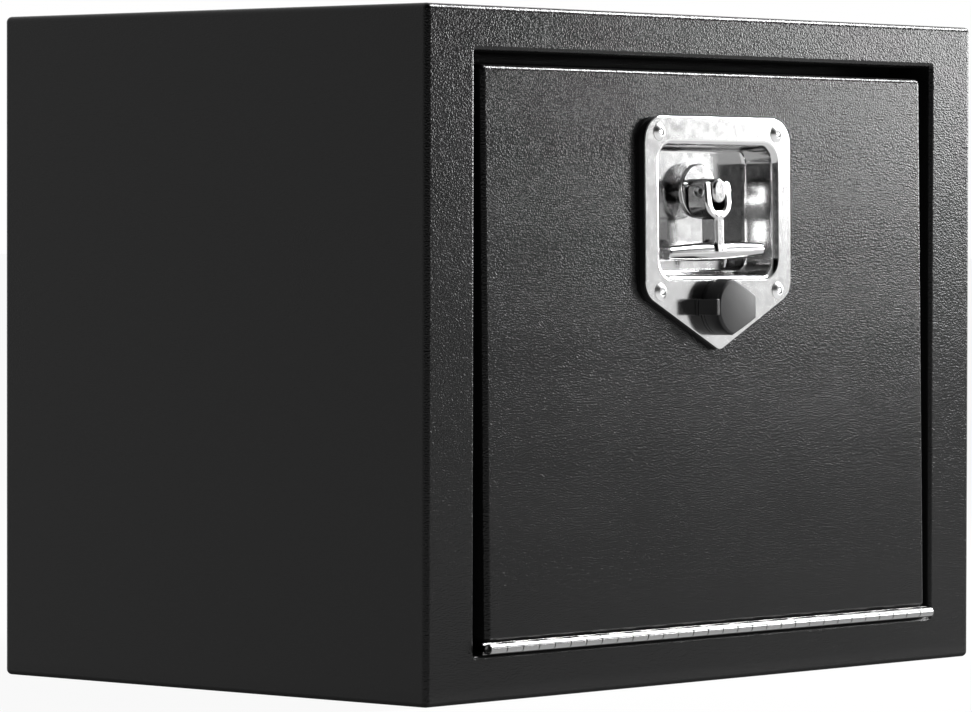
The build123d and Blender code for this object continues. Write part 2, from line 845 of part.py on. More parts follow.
def cap_tab(left, right, near, far):
    """A stretch of the strap on the left of the cap or collar, measured from the lock's axis."""
    place = Pos(lock_offset + (left + right) / 2, lock_z)
    return slab(place * Rectangle(right - left, tab_height), near, far)


def cap_collar():
    """Rubber collar under the lock's rim, with the root of the strap."""
    collar = slab(Pos(lock_offset, lock_z) * cap_outline(0), collar_face, plate_face)
    collar = collar + cap_tab(-tab_reach, -cap_radius / 2, collar_face, plate_face)
    return collar - rod(lock_offset, lock_z, lock_body_radius, collar_face - overrun, plate_face + overrun)


def dust_cap():
    """Hollow rubber cap over the lock, with its strap beside it and the web between them."""
    place = Pos(lock_offset, lock_z)
    cap = slab(place * cap_outline(0), cap_face, cap_seat)
    cap = fillet(rim_edges(cap, cap_face, box_width, 0, box_height), cap_edge)
    web_near = cap_face + tab_web_back
    cap = cap + cap_tab(-tab_reach, tab_sheet - tab_reach, tab_face, cap_seat)
    cap = cap + cap_tab(-tab_reach, -cap_radius / 2, web_near, web_near + tab_web_depth)
    return cap - slab(place * cap_outline(-cap_wall), cap_face + cap_wall, cap_seat + overrun)


def solids_of(pieces):
    """One compound of separate solids."""
    return Compound([solid for piece in pieces for solid in piece.solids()])


def nodes():
    """Every sub-part by name."""
    shell = box_shell()
    parts = {
        "front_frame": front_frame(shell),
        "body_wrap": body_wrap(shell),
        "end_panel_left": end_panel(shell, -1),
        "end_panel_right": end_panel(shell, 1),
        "door_seal": door_seal(),
        "hinge_frame_leaf": hinge_leaf(-1),
        "hinge_frame_rivets": solids_of(hinge_rivets(-1)),
        "hinge_pin": hinge_pin(),
    }
    door_parts = {
        "door_skin": door_skin(),
        "door_liner": door_liner(),
        "hinge_door_leaf": hinge_leaf(1),
        "hinge_door_rivets": solids_of(hinge_rivets(1)),
        "latch_plate": latch_plate(),
        "latch_gasket": latch_gasket(),
        "latch_rivets": solids_of([latch_rivet(x, z) for x, z in rivet_places]),
        "spindle_bush": spindle_bush(),
        "spindle": spindle(),
        "spindle_flange": spindle_flange(),
        "cam_spacer": cam_spacer(),
        "latch_cam": latch_cam(),
        "cam_nut": cam_nut(),
        "t_handle": t_handle(),
        "handle_pin": handle_pin(),
        "lock_housing": lock_housing(),
        "lock_nut": lock_nut(),
        "lock_plug": lock_plug(),
        "lock_pawl": lock_pawl(),
        "pawl_screw": pawl_screw(),
        "cap_collar": cap_collar(),
        "dust_cap": dust_cap(),
    }
    for name, part in door_parts.items():
        parts[name] = leaned(part)
    return parts


def main():
    os.makedirs("parts", exist_ok=True)
    for name, part in nodes().items():
        export_step(part, os.path.join("parts", name + ".step"))


main()
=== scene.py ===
import json
import math

import bpy
import numpy as np
from mathutils import Matrix, Vector
from mathutils.geometry import tessellate_polygon


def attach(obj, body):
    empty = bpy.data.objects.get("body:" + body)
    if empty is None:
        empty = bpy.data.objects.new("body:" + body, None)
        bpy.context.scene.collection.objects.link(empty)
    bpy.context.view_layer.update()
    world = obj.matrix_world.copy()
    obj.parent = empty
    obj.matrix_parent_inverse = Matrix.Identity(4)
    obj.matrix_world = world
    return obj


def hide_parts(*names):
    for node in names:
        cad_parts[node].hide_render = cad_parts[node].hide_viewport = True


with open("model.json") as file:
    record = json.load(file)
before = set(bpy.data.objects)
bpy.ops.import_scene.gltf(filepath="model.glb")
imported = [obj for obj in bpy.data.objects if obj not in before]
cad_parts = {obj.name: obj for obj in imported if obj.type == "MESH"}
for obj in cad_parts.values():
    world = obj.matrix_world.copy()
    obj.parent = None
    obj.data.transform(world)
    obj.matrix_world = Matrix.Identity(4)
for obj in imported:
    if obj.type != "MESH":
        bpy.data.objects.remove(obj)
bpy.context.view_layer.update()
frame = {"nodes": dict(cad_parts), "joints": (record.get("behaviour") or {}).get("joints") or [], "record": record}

MM = 0.001
JOINTS = {joint["name"]: joint for joint in frame["joints"]}

# Camera, from the photograph's own perspective
CAMERA_PLACE = (-2.2681, -2.0050, 0.2441)
CAMERA_YAW = math.radians(48.398)
CAMERA_PITCH = math.radians(-1.379)
CAMERA_ROLL = math.radians(0.105)
CAMERA_LENS = 202.74
CAMERA_SIGHT = 100
SENSOR_WIDTH = 36.0


def make_camera():
    """The camera at the photograph's viewing angle."""
    data = bpy.data.cameras.new("camera")
    data.lens = CAMERA_LENS
    data.sensor_fit = "HORIZONTAL"
    data.sensor_width = SENSOR_WIDTH
    data.clip_end = CAMERA_SIGHT
    camera = bpy.data.objects.new("camera", data)
    ahead = Vector((
        math.sin(CAMERA_YAW) * math.cos(CAMERA_PITCH),
        math.cos(CAMERA_YAW) * math.cos(CAMERA_PITCH),
        math.sin(CAMERA_PITCH),
    ))
    level_right = ahead.cross(Vector((0, 0, 1))).normalized()
    level_up = level_right.cross(ahead)
    right = level_right * math.cos(CAMERA_ROLL) + level_up * math.sin(CAMERA_ROLL)
    up = level_up * math.cos(CAMERA_ROLL) - level_right * math.sin(CAMERA_ROLL)
    turn = Matrix((right, up, -ahead)).transposed().to_4x4()
    camera.matrix_world = Matrix.Translation(CAMERA_PLACE) @ turn
    bpy.context.scene.collection.objects.link(camera)
    bpy.context.scene.camera = camera


# Shader nodes
def object_coordinates(tree):
    """The row frame's coordinates, in metres, which don't slide over the surface."""
    return tree.nodes.new("ShaderNodeTexCoord").outputs["Object"]


def noise(tree, place, scale, detail=2.0):
    """Noise with this many waves per metre."""
    node = tree.nodes.new("ShaderNodeTexNoise")
    node.inputs["Scale"].default_value = scale
    node.inputs["Detail"].default_value = detail
    tree.links.new(place, node.inputs["Vector"])
    return node.outputs["Fac"]


def span(tree, value, low, high, from_low=0.0, from_high=1.0):
    """A value carried from one range to another."""
    node = tree.nodes.new("ShaderNodeMapRange")
    node.inputs["From Min"].default_value = from_low
    node.inputs["From Max"].default_value = from_high
    node.inputs["To Min"].default_value = low
    node.inputs["To Max"].default_value = high
    tree.links.new(value, node.inputs["Value"])
    return node.outputs["Result"]


def mottle(tree, place, scale, low, high):
    """Cloudy noise that mostly stays between two values."""
    return span(tree, noise(tree, place, scale, detail=3.0), low, high, *NOISE_SPREAD)


def combine(tree, operation, first, second):
    """One value from two sockets."""
    node = tree.nodes.new("ShaderNodeMath")
    node.operation = operation
    tree.links.new(first, node.inputs[0])
    tree.links.new(second, node.inputs[1])
    return node.outputs[0]


def bump(tree, height, distance, strength=1.0, below=None):
    """A normal that a height tilts, by a distance in metres, on top of the one below it."""
    node = tree.nodes.new("ShaderNodeBump")
    node.inputs["Strength"].default_value = strength
    node.inputs["Distance"].default_value = distance
    tree.links.new(height, node.inputs["Height"])
    if below is not None:
        tree.links.new(below, node.inputs["Normal"])
    return node.outputs["Normal"]


# Lamps, in metres and watts: place, what each faces, its two sides, and power
KEY_LAMP = ((1.888, -0.829, 0.476), (0.05, -0.15, 0.25), (1.147, 0.311), 26)
CARD_LAMP = ((0.388, -0.474, 0.262), (0, -0.157, 0.25), (0.23, 0.3), 0.11)
RIDGE_SIZE = (0.6, 0.5)
RIDGE_POWER = 50
RIDGE_AWAY = 1.6
FOLDED_EDGE = (0.03, -0.155, 0.335)
GLINT_ANGLE = math.radians(34)

# Shares to the left and to the front of the level way from the box to the camera
VIEW_LEFT = 0.747
VIEW_FRONT = 0.664

# Background: the way its white side lies, where along that way it turns white, and the room's own light
BACKDROP_WAY = (0.3, 0.954, 0)
BACKDROP_EDGE = (-0.7, 0.3)
ROOM_LIGHT = 0.15
FLOOR_REACH = 30.0
FLOOR_GREY = 0.82
FLOOR_WHITE = 0.94


def area_light(name, place, target, size, power, along=(0, 0, 1)):
    """A soft rectangular lamp that faces a point; its second side runs as near as it can to along."""
    data = bpy.data.lights.new(name, "AREA")
    data.shape = "RECTANGLE"
    data.size, data.size_y = size
    data.energy = power
    behind = (Vector(place) - Vector(target)).normalized()
    across = Vector(along).cross(behind).normalized()
    turn = Matrix((across, behind.cross(across), behind)).transposed().to_4x4()
    lamp = bpy.data.objects.new(name, data)
    lamp.matrix_world = Matrix.Translation(place) @ turn
    bpy.context.scene.collection.objects.link(lamp)


def bend_glint(angle):
    """The way from a bend to a lamp that glints at this angle round it, and the line the lamp follows."""
    way = Vector((VIEW_LEFT, -VIEW_FRONT * math.cos(2 * angle), VIEW_FRONT * math.sin(2 * angle)))
    return way, Vector((0, math.sin(2 * angle), math.cos(2 * angle)))


def make_lights():
    """A long low key, a near card for the plate, and a lamp that draws the folded edges."""
    area_light("key", *KEY_LAMP)
    area_light("card", *CARD_LAMP)
    way, along = bend_glint(GLINT_ANGLE)
    edge = Vector(FOLDED_EDGE)
    area_light("ridge", edge + way * RIDGE_AWAY, edge, RIDGE_SIZE, RIDGE_POWER, along)


def seen_white(tree):
    """The camera's rays, and with them those off metal and through glass, which see the white too."""
    rays = tree.nodes.new("ShaderNodeLightPath").outputs
    glossy = combine(tree, "MAXIMUM", rays["Is Glossy Ray"], rays["Is Transmission Ray"])
    return rays["Is Camera Ray"], combine(tree, "MAXIMUM", rays["Is Camera Ray"], glossy)


def make_world():
    """White background that metal shows too, a dark side where the camera stands, and a plain room light."""
    world = bpy.data.worlds.new("studio")
    bpy.context.scene.world = world
    world.use_nodes = True
    tree = world.node_tree
    tree.nodes.clear()
    output = tree.nodes.new("ShaderNodeOutputWorld")
    white = tree.nodes.new("ShaderNodeBackground")
    room = tree.nodes.new("ShaderNodeBackground")
    for part in (white, room):
        part.inputs["Color"].default_value = (1, 1, 1, 1)
    room.inputs["Strength"].default_value = ROOM_LIGHT
    camera_ray, seen = seen_white(tree)
    facing = tree.nodes.new("ShaderNodeVectorMath")
    facing.operation = "DOT_PRODUCT"
    facing.inputs[1].default_value = Vector(BACKDROP_WAY).normalized()
    choose = tree.nodes.new("ShaderNodeMixShader")
    link = tree.links.new
    link(tree.nodes.new("ShaderNodeTexCoord").outputs["Generated"], facing.inputs[0])
    backdrop = span(tree, facing.outputs["Value"], 0.0, 1.0, *BACKDROP_EDGE)
    link(combine(tree, "MAXIMUM", backdrop, camera_ray), white.inputs["Strength"])
    link(seen, choose.inputs[0])
    link(room.outputs[0], choose.inputs[1])
    link(white.outputs[0], choose.inputs[2])
    link(choose.outputs[0], output.inputs["Surface"])


def make_floor():
    """Plain pale floor; the camera sees it nearly white, with the box's soft shadow."""
    mesh = bpy.data.meshes.new("floor")
    corners = [(FLOOR_REACH * x, FLOOR_REACH * y, 0) for x, y in ((-1, -1), (1, -1), (1, 1), (-1, 1))]
    mesh.from_pydata(corners, [], [(0, 1, 2, 3)])
    floor = bpy.data.objects.new("floor", mesh)
    bpy.context.scene.collection.objects.link(floor)
    material = bpy.data.materials.new("floor")
    material.use_nodes = True
    tree = material.node_tree
    tree.nodes.clear()
    output = tree.nodes.new("ShaderNodeOutputMaterial")
    paper = tree.nodes.new("ShaderNodeBsdfDiffuse")
    paper.inputs["Color"].default_value = (*grey(FLOOR_GREY), 1)
    white = tree.nodes.new("ShaderNodeEmission")
    white.inputs["Strength"].default_value = 1.0
    share = tree.nodes.new("ShaderNodeMath")
    share.operation = "MULTIPLY"
    share.inputs[1].default_value = FLOOR_WHITE
    mix = tree.nodes.new("ShaderNodeMixShader")
    link = tree.links.new
    link(seen_white(tree)[1], share.inputs[0])
    link(share.outputs[0], mix.inputs[0])
    link(paper.outputs[0], mix.inputs[1])
    link(white.outputs[0], mix.inputs[2])
    link(mix.outputs[0], output.inputs["Surface"])
    mesh.materials.append(material)


# Materials, with scales in waves per metre and depths in metres
COAT_BLACK = (0.004, 0.004, 0.0041)
# How far the coat's ambient occlusion looks for crevices, whose shade it paints through roughness
COAT_SHADE_REACH = 0.02
RUBBER_BLACK = (0.012, 0.012, 0.0125)
# Darker than the rubber: partly the seal's own colour, partly painted shade in the door's gap
FOAM_BLACK_AND_SHADE = (0.003, 0.003, 0.003)
ZINC = (0.62, 0.63, 0.65)
BRASS = (0.72, 0.52, 0.25)
NOISE_SPREAD = (0.3, 0.7)


def grey(level):
    """A colour without a tint."""
    return level, level, level


def shader(name, colour, metallic, roughness, specular=0.5):
    """A new material, its node tree and its Principled node."""
    material = bpy.data.materials.new(name)
    material.use_nodes = True
    tree = material.node_tree
    surface = tree.nodes["Principled BSDF"]
    surface.inputs["Base Color"].default_value = (*colour, 1)
    surface.inputs["Metallic"].default_value = metallic
    surface.inputs["Roughness"].default_value = roughness
    surface.inputs["Specular IOR Level"].default_value = specular
    return material, tree, surface


def powder_coat():
    """Black powder coat with a fine leathery grain, made rough where an ambient occlusion node finds crevices so
    that they read darker: painted shade.
    """
    material, tree, surface = shader("powder_coat", COAT_BLACK, metallic=0.0, roughness=0.2, specular=0.19)
    place = object_coordinates(tree)
    grain = noise(tree, place, scale=1250, detail=0.0)
    waves = noise(tree, place, scale=90, detail=1.0)
    normal = bump(tree, waves, distance=0.0006, strength=0.03)
    normal = bump(tree, grain, distance=0.00015, strength=0.9, below=normal)
    tree.links.new(normal, surface.inputs["Normal"])
    # Painted shade: ambient occlusion makes the coat rougher in crevices and between parts, which dims them
    occlusion = tree.nodes.new("ShaderNodeAmbientOcclusion")
    occlusion.samples = 8
    occlusion.inputs["Distance"].default_value = COAT_SHADE_REACH
    shade_roughness = span(tree, occlusion.outputs["AO"], low=0.7, high=0.0, from_low=0.3, from_high=0.62)
    smooth = mottle(tree, place, scale=14, low=0.185, high=0.215)
    tree.links.new(combine(tree, "ADD", shade_roughness, smooth), surface.inputs["Roughness"])
    return material


def polished(name, colour, roughness):
    """Bright metal with faint polishing marks."""
    material, tree, surface = shader(name, colour, metallic=1.0, roughness=roughness)
    place = object_coordinates(tree)
    marks = mottle(tree, place, scale=260.0, low=roughness * 0.8, high=roughness * 1.25)
    tree.links.new(marks, surface.inputs["Roughness"])
    dents = noise(tree, place, scale=35, detail=1.0)
    tree.links.new(bump(tree, dents, distance=0.00002, strength=0.5), surface.inputs["Normal"])
    return material


def rubber():
    """Matt black rubber with a fine bloom."""
    material, tree, surface = shader("rubber", RUBBER_BLACK, metallic=0.0, roughness=0.42, specular=0.35)
    place = object_coordinates(tree)
    bloom = noise(tree, place, scale=1400)
    tree.links.new(bump(tree, bloom, distance=0.00012, strength=0.35), surface.inputs["Normal"])
    tree.links.new(mottle(tree, place, scale=60, low=0.37, high=0.46), surface.inputs["Roughness"])
    return material


def foam():
    """Dull black foam of the door's seal, darker than the rubber so that the door's gap reads black: partly the
    seal's own colour, partly painted shade.
    """
    material, tree, surface = shader("seal_foam_and_shade", FOAM_BLACK_AND_SHADE, metallic=0.0, roughness=0.9, specular=0.05)
    cells = noise(tree, object_coordinates(tree), scale=1800)
    tree.links.new(bump(tree, cells, distance=0.0003, strength=0.6), surface.inputs["Normal"])
    return material


MATERIALS = {
    "powder_black": powder_coat(),
    "stainless": polished("stainless", grey(0.56), roughness=0.13),
    "polished_steel": polished("polished_steel", grey(0.48), roughness=0.15),
    "hinge_steel": polished("hinge_steel", grey(0.3), roughness=0.22),
    "zinc_steel": polished("zinc_steel", ZINC, roughness=0.3),
    "lock_steel": polished("lock_steel", grey(0.7), roughness=0.16),
    "bush_brass": polished("bush_brass", BRASS, roughness=0.28),
    "rubber_black": rubber(),
}


def dress_nodes():
    """Every CAD node gets the material of its slot, and the seal its own darker one, which partly paints the shade
    in the door's gap.
    """
    for part in frame["record"]["subparts"]:
        node = frame["nodes"][part["node"]]
        node.data.materials.clear()
        node.data.materials.append(MATERIALS[part["material_slot"]])
    # The seal's darker material partly paints the shade in the door's gap
    frame["nodes"]["door_seal"].data.materials[0] = foam()


# Shapes, in millimetres; turns in radians below STRAIGHT are none, and points within WELD are one
STRAIGHT = 1e-6
WELD = 2e-4
CAST_ROUNDS = 6
FLATTEST_SLOPE = 0.25


def rounded(corners, closed=True, steps=6):
    """Points along straight sides joined by round corners, and the normal on the right of each point.

    A corner is (across, up, radius). Without a radius it gives two points, one for each side.
    """
    count = len(corners)
    spots = [np.array(corner[:2], float) for corner in corners]
    points = []
    normals = []

    def right_of(start, end):
        along = (end - start) / np.linalg.norm(end - start)
        return np.array([along[1], -along[0]])

    for index, (across, up, radius) in enumerate(corners):
        spot = spots[index]
        if not closed and index in (0, count - 1):
            step = 1 if index == 0 else -1
            normal = right_of(spot, spots[index + step]) * step
            points.append(spot)
            normals.append(normal)
            continue
        before = right_of(spots[index - 1], spot)
        after = right_of(spot, spots[(index + 1) % count])
        turn = math.atan2(before[0] * after[1] - before[1] * after[0], before @ after)
        if not radius or abs(turn) < STRAIGHT:
            points += [spot, spot]
            normals += [before, after]
            continue
        bend = math.copysign(radius, turn)
        middle = (before + after) / np.linalg.norm(before + after)
        centre = spot - middle * bend / math.cos(turn / 2)
        for share in np.linspace(0, 1, steps + 1):
            angle = math.atan2(before[1], before[0]) + turn * share
            normal = np.array([math.cos(angle), math.sin(angle)])
            points.append(centre + normal * bend)
            normals.append(normal)
    return np.array(points), np.array(normals)


def rectangle(left, right, low, high, radius, steps=6):
    """A rectangle with round corners, anticlockwise from its upper left one."""
    spots = ((left, high), (left, low), (right, low), (right, high))
    return rounded([(*spot, radius) for spot in spots], steps=steps)


def spokes(steps):
    """Ways out from a circle's centre, evenly round it."""
    angles = np.arange(steps) * 2 * math.pi / steps
    return np.stack([np.cos(angles), np.sin(angles)], -1)


def circle_outline(centre, radius, steps=48):
    """A round front view outline."""
    out = spokes(steps)
    return out * radius + centre, out


def grown(outline, step):
    """An outline's points, moved outwards."""
    return outline[0] + outline[1] * step


class Skin:
    """Patches of points with their own normals, welded into one mesh."""

    def __init__(self):
        self.points = []
        self.normals = []
        self.faces = []
        self.count = 0

    def add(self, points, normals, faces):
        """Another patch; its faces count from its own first point."""
        points = np.asarray(points, float).reshape(-1, 3)
        self.points.append(points)
        self.normals.append(np.asarray(normals, float).reshape(-1, 3))
        self.faces += [tuple(int(corner) + self.count for corner in face) for face in faces]
        self.count += len(points)

    def grid(self, points, normals, wrap=True):
        """A sheet of rows of points. With wrap, each row closes on itself."""
        rows, columns = points.shape[:2]
        faces = []
        for row in range(rows - 1):
            for column in range(columns if wrap else columns - 1):
                side = (column + 1) % columns
                faces.append((
                    row * columns + column, row * columns + side,
                    (row + 1) * columns + side, (row + 1) * columns + column,
                ))
        self.add(points, normals, faces)

    def around(self, outline, profile):
        """Walls that follow a front view outline: the profile's steps are (outwards, depth)."""
        ring, out = outline
        steps, facing = profile
        points = np.empty((len(steps), len(ring), 3))
        normals = np.empty_like(points)
        for row, (step, normal) in enumerate(zip(steps, facing)):
            points[row, :, 0::2] = ring + out * step[0]
            points[row, :, 1] = step[1]
            normals[row, :, 0::2] = out * normal[0]
            normals[row, :, 1] = normal[1]
        self.grid(points, normals)

    def lathe(self, profile, centre=(0, 0), steps=48):
        """A turned shape about a front to back axis: the profile's steps are (radius, depth)."""
        out = spokes(steps)
        self.around((np.zeros((steps, 2)) + centre, out), profile)

    def flat(self, loops, depth, facing):
        """A flat front or back face between closed outlines; the first is the outer one."""
        faces = tessellate_polygon([[Vector((*spot, 0)) for spot in loop] for loop in loops])
        points = [(spot[0], depth, spot[1]) for spot in np.concatenate(loops)]
        self.add(points, [(0, facing, 0)] * len(points), faces)

    def build(self, name, place):
        """The welded mesh as an object, its points carried to their place and into metres."""
        points = np.concatenate(self.points)
        normals = np.concatenate(self.normals)
        keys = np.round(points / WELD).astype(np.int64)
        _, first, welded = np.unique(keys, axis=0, return_index=True, return_inverse=True)
        welded = welded.reshape(-1)
        faces = []
        loop_normals = []
        for face in self.faces:
            kept = [corner for turn, corner in enumerate(face) if welded[corner] != welded[face[turn - 1]]]
            if len({welded[corner] for corner in kept}) < max(3, len(kept)):
                continue
            spots = points[kept]
            across = np.zeros(3)
            for index in range(1, len(kept) - 1):
                across += np.cross(spots[index] - spots[0], spots[index + 1] - spots[0])
            if across @ normals[kept].sum(0) < 0:
                kept.reverse()
            faces.append([int(welded[corner]) for corner in kept])
            loop_normals += [normals[corner] for corner in kept]
        mesh = bpy.data.meshes.new(name)
        mesh.from_pydata((points[first] * MM).tolist(), [], faces)
        mesh.polygons.foreach_set("use_smooth", [True] * len(faces))
        turned = np.array(loop_normals)
        turned /= np.maximum(np.linalg.norm(turned, axis=1, keepdims=True), 1e-9)
        mesh.transform(place)
        turn = np.array(place.to_3x3())
        mesh.normals_split_custom_set((turned @ turn.T).tolist())
        piece = bpy.data.objects.new(name, mesh)
        bpy.context.scene.collection.objects.link(piece)
        return piece


def cast(distance, low, high, cell):
    """A skin with a smooth closed surface where a distance function is zero."""
    axes = [np.arange(start - cell, end + 2 * cell, cell) for start, end in zip(low, high)]
    corners = np.stack(np.meshgrid(*axes, indexing="ij"), -1)
    inside = distance(corners) < 0
    blocks = tuple(size - 1 for size in inside.shape)
    filled = np.zeros(blocks, int)
    for shift in np.ndindex(2, 2, 2):
        filled += inside[tuple(slice(step, step + size) for step, size in zip(shift, blocks))]
    crossed = (filled > 0) & (filled < 8)
    number = np.full(blocks, -1)
    number[crossed] = np.arange(crossed.sum())
    points = corners[:-1, :-1, :-1][crossed] + cell / 2
    reach = cell / 16
    for _ in range(CAST_ROUNDS):
        value = distance(points)
        slope = np.stack([
            (distance(points + shift) - distance(points - shift)) / (2 * reach)
            for shift in np.eye(3) * reach
        ], -1)
        steep = np.maximum((slope ** 2).sum(-1), FLATTEST_SLOPE)
        points = points - slope * np.clip(value / steep, -cell / 2, cell / 2)[:, None]
    faces = []
    for axis in range(3):
        ahead = [slice(None)] * 3
        behind = [slice(None)] * 3
        ahead[axis] = slice(1, None)
        behind[axis] = slice(None, -1)
        change = inside[tuple(ahead)] != inside[tuple(behind)]
        sides = [other for other in range(3) if other != axis]
        keep = [slice(None)] * 3
        for side in sides:
            keep[side] = slice(1, -1)
        spots = np.argwhere(change[tuple(keep)])
        for side in sides:
            spots[:, side] += 1
        quads = []
        for first, second in ((0, 0), (1, 0), (1, 1), (0, 1)):
            spot = spots.copy()
            spot[:, sides[0]] -= first
            spot[:, sides[1]] -= second
            quads.append(number[tuple(spot.T)])
        faces += np.stack(quads, -1).tolist()
    skin = Skin()
    skin.add(points, slope, faces)
    return skin


# Places of the latch, tilted as the door leans: x right, y into the door, z up
def joint_place(name):
    """Where a joint is, without a turn."""
    return Matrix.Translation(JOINTS[name]["pos_m"])


TURN_AXIS = Vector(JOINTS["handle_turn"]["axis"])
FOLD_AXIS = Vector(JOINTS["handle_fold"]["axis"])
LEAN = math.atan2(TURN_AXIS.z, -TURN_AXIS.y)
TILT = math.atan2(-FOLD_AXIS.z, -FOLD_AXIS.x)
LATCH = joint_place("handle_turn") @ Matrix.Rotation(-LEAN, 4, "X")
HANDLE = LATCH @ Matrix.Rotation(-TILT, 4, "Y")
LOCK = joint_place("lock_turn") @ Matrix.Rotation(-LEAN, 4, "X")


def local_box(node, place):
    """Lowest and highest corner of a CAD node in a tilted place, in millimetres."""
    inverse = place.inverted()
    spots = np.array([inverse @ vertex.co for vertex in frame["nodes"][node].data.vertices]) / MM
    return spots.min(0), spots.max(0)


# Latch plate, in millimetres
PLATE_LOW, PLATE_HIGH = local_box("latch_plate", LATCH)
PLATE_SHEET = 1.6
PLATE_SIDE_SHARE = 0.7586
PLATE_TOP_CORNER = 14.0
PLATE_SIDE_CORNER = 12.0
PLATE_POINT_CORNER = 6.0
PLATE_EDGE = 0.45
DISH_WIDTH = 96.0
DISH_HEIGHT = 69.0
DISH_CORNER = 9.0
DISH_DRAFT = math.radians(3.2)
DISH_FLOOR = PLATE_HIGH[1] - PLATE_SHEET
DISH_TOP_BORDER = 15.2
MOUTH_BEND = 3.5
FLOOR_BEND = 2.5
SPINDLE_HOLE = 5.6
LOCK_HOLE = 8.0
LOCK_SPOT = LATCH.inverted() @ LOCK.translation
LOCK_PLACE = (LOCK_SPOT.x / MM, LOCK_SPOT.z / MM)
RIVET_SPREAD = 98.6
RIVET_TOP_BORDER = 8.5
RIVET_DROP = 84.3


def plate_outline(steps=10):
    """Five-sided outline, anticlockwise from its upper left corner."""
    half = PLATE_HIGH[0]
    side = PLATE_HIGH[2] - (PLATE_HIGH[2] - PLATE_LOW[2]) * PLATE_SIDE_SHARE
    return rounded([
        (-half, PLATE_HIGH[2], PLATE_TOP_CORNER),
        (-half, side, PLATE_SIDE_CORNER),
        (0, PLATE_LOW[2], PLATE_POINT_CORNER),
        (half, side, PLATE_SIDE_CORNER),
        (half, PLATE_HIGH[2], PLATE_TOP_CORNER),
    ], steps=steps)


def dish_outline(steps=10):
    """The dish's mouth, before its bends."""
    high = PLATE_HIGH[2] - DISH_TOP_BORDER
    half = DISH_WIDTH / 2
    return rectangle(-half, half, high - DISH_HEIGHT, high, DISH_CORNER, steps)


def hole_wall(near, far):
    """The profile of a hole's straight wall between two depths."""
    return np.array([(0, near), (0, far)]), np.array([(-1, 0), (-1, 0)])


def latch_plate():
    """Stainless sheet with a soft edge and the pressed dish."""
    plate = plate_outline()
    dish = dish_outline()
    draw_in = DISH_FLOOR * math.tan(DISH_DRAFT)
    inset = -3 * PLATE_EDGE
    skin = Skin()
    skin.around(plate, rounded([
        (inset, 0, 0),
        (0, 0, PLATE_EDGE),
        (0, PLATE_SHEET, PLATE_EDGE / 3),
        (inset, PLATE_SHEET, 0),
    ], closed=False))
    mouth = 2 * MOUTH_BEND
    floor = -draw_in - 2 * FLOOR_BEND
    front, facing = rounded([
        (floor, DISH_FLOOR, 0),
        (-draw_in, DISH_FLOOR, FLOOR_BEND),
        (0, 0, MOUTH_BEND),
        (mouth, 0, 0),
    ], closed=False, steps=10)
    skin.around(dish, (front, facing))
    skin.around(dish, (front - facing * PLATE_SHEET, -facing))
    hole = circle_outline((0, 0), SPINDLE_HOLE)
    lock = circle_outline(LOCK_PLACE, LOCK_HOLE)
    loops = [grown(plate, inset), grown(dish, mouth), lock[0]]
    floor_loops = [grown(dish, floor), hole[0]]
    floor_back = DISH_FLOOR + PLATE_SHEET
    skin.flat(loops, 0, -1)
    skin.flat(loops, PLATE_SHEET, 1)
    skin.around(lock, hole_wall(0, PLATE_SHEET))
    skin.flat(floor_loops, DISH_FLOOR, -1)
    skin.flat(floor_loops, floor_back, 1)
    skin.around(hole, hole_wall(DISH_FLOOR, floor_back))
    return skin.build("latch_plate_sheet", LATCH)


# Distance functions, in millimetres
def rounded_box(spots, centre, half, radius):
    """Distance to a box with round edges, in as many directions as centre has."""
    beyond = np.abs(spots - np.array(centre)) - np.array(half) + radius
    outside = np.linalg.norm(np.maximum(beyond, 0), axis=-1)
    return outside + np.minimum(beyond.max(-1), 0) - radius


def soft_join(first, second, blend):
    """Both shapes, run into each other."""
    share = np.clip(0.5 + (second - first) / (2 * blend), 0, 1)
    return second + (first - second) * share - blend * share * (1 - share)


def soft_cut(first, second, blend):
    """The first shape without the second, with a soft edge."""
    return -soft_join(-first, second, blend)


def thick(flat_distance, depth, near, far, edge):
    """A front view outline made solid between two depths, with round edges."""
    beyond = np.stack([flat_distance + edge, np.abs(depth - (near + far) / 2) - (far - near) / 2 + edge], -1)
    outside = np.linalg.norm(np.maximum(beyond, 0), axis=-1)
    return outside + np.minimum(beyond.max(-1), 0) - edge


# Folding T-handle, in millimetres
YOKE_HALF = 10.95
YOKE_TOP = 5.3
YOKE_BOTTOM = -15.1
YOKE_FACE = -0.7
YOKE_BACK = 13.1
YOKE_SLANT = math.tan(math.radians(4))
YOKE_CHEEK = 5.2
YOKE_WEB = 4.5
YOKE_CORNER = 9.6
YOKE_TOP_CORNER = 2.4
YOKE_HEEL = 5.0
YOKE_EDGE = 1.3
SLOT_EDGE = 0.9
STEM_HALF = 3.8
STEM_FACE = -0.5
STEM_BACK = 9.9
STEM_CORNER = 1.6
BAR_DROP = 32.3
BAR_DEPTH = 4.8
BAR_HALF = 39.75
BAR_MIDDLE = 5.1
BAR_END = 3.5
BAR_EDGE = 1.0
NUB_ACROSS = 8.5
NUB_TIP = 0.8
NUB_ROOT = 3.2
NUB_LOW = -41.6
PIN_DEPTH = 4.6
PIN_RADIUS = 3.2
CAST_BLEND = 1.6
CAST_CELL = 0.45


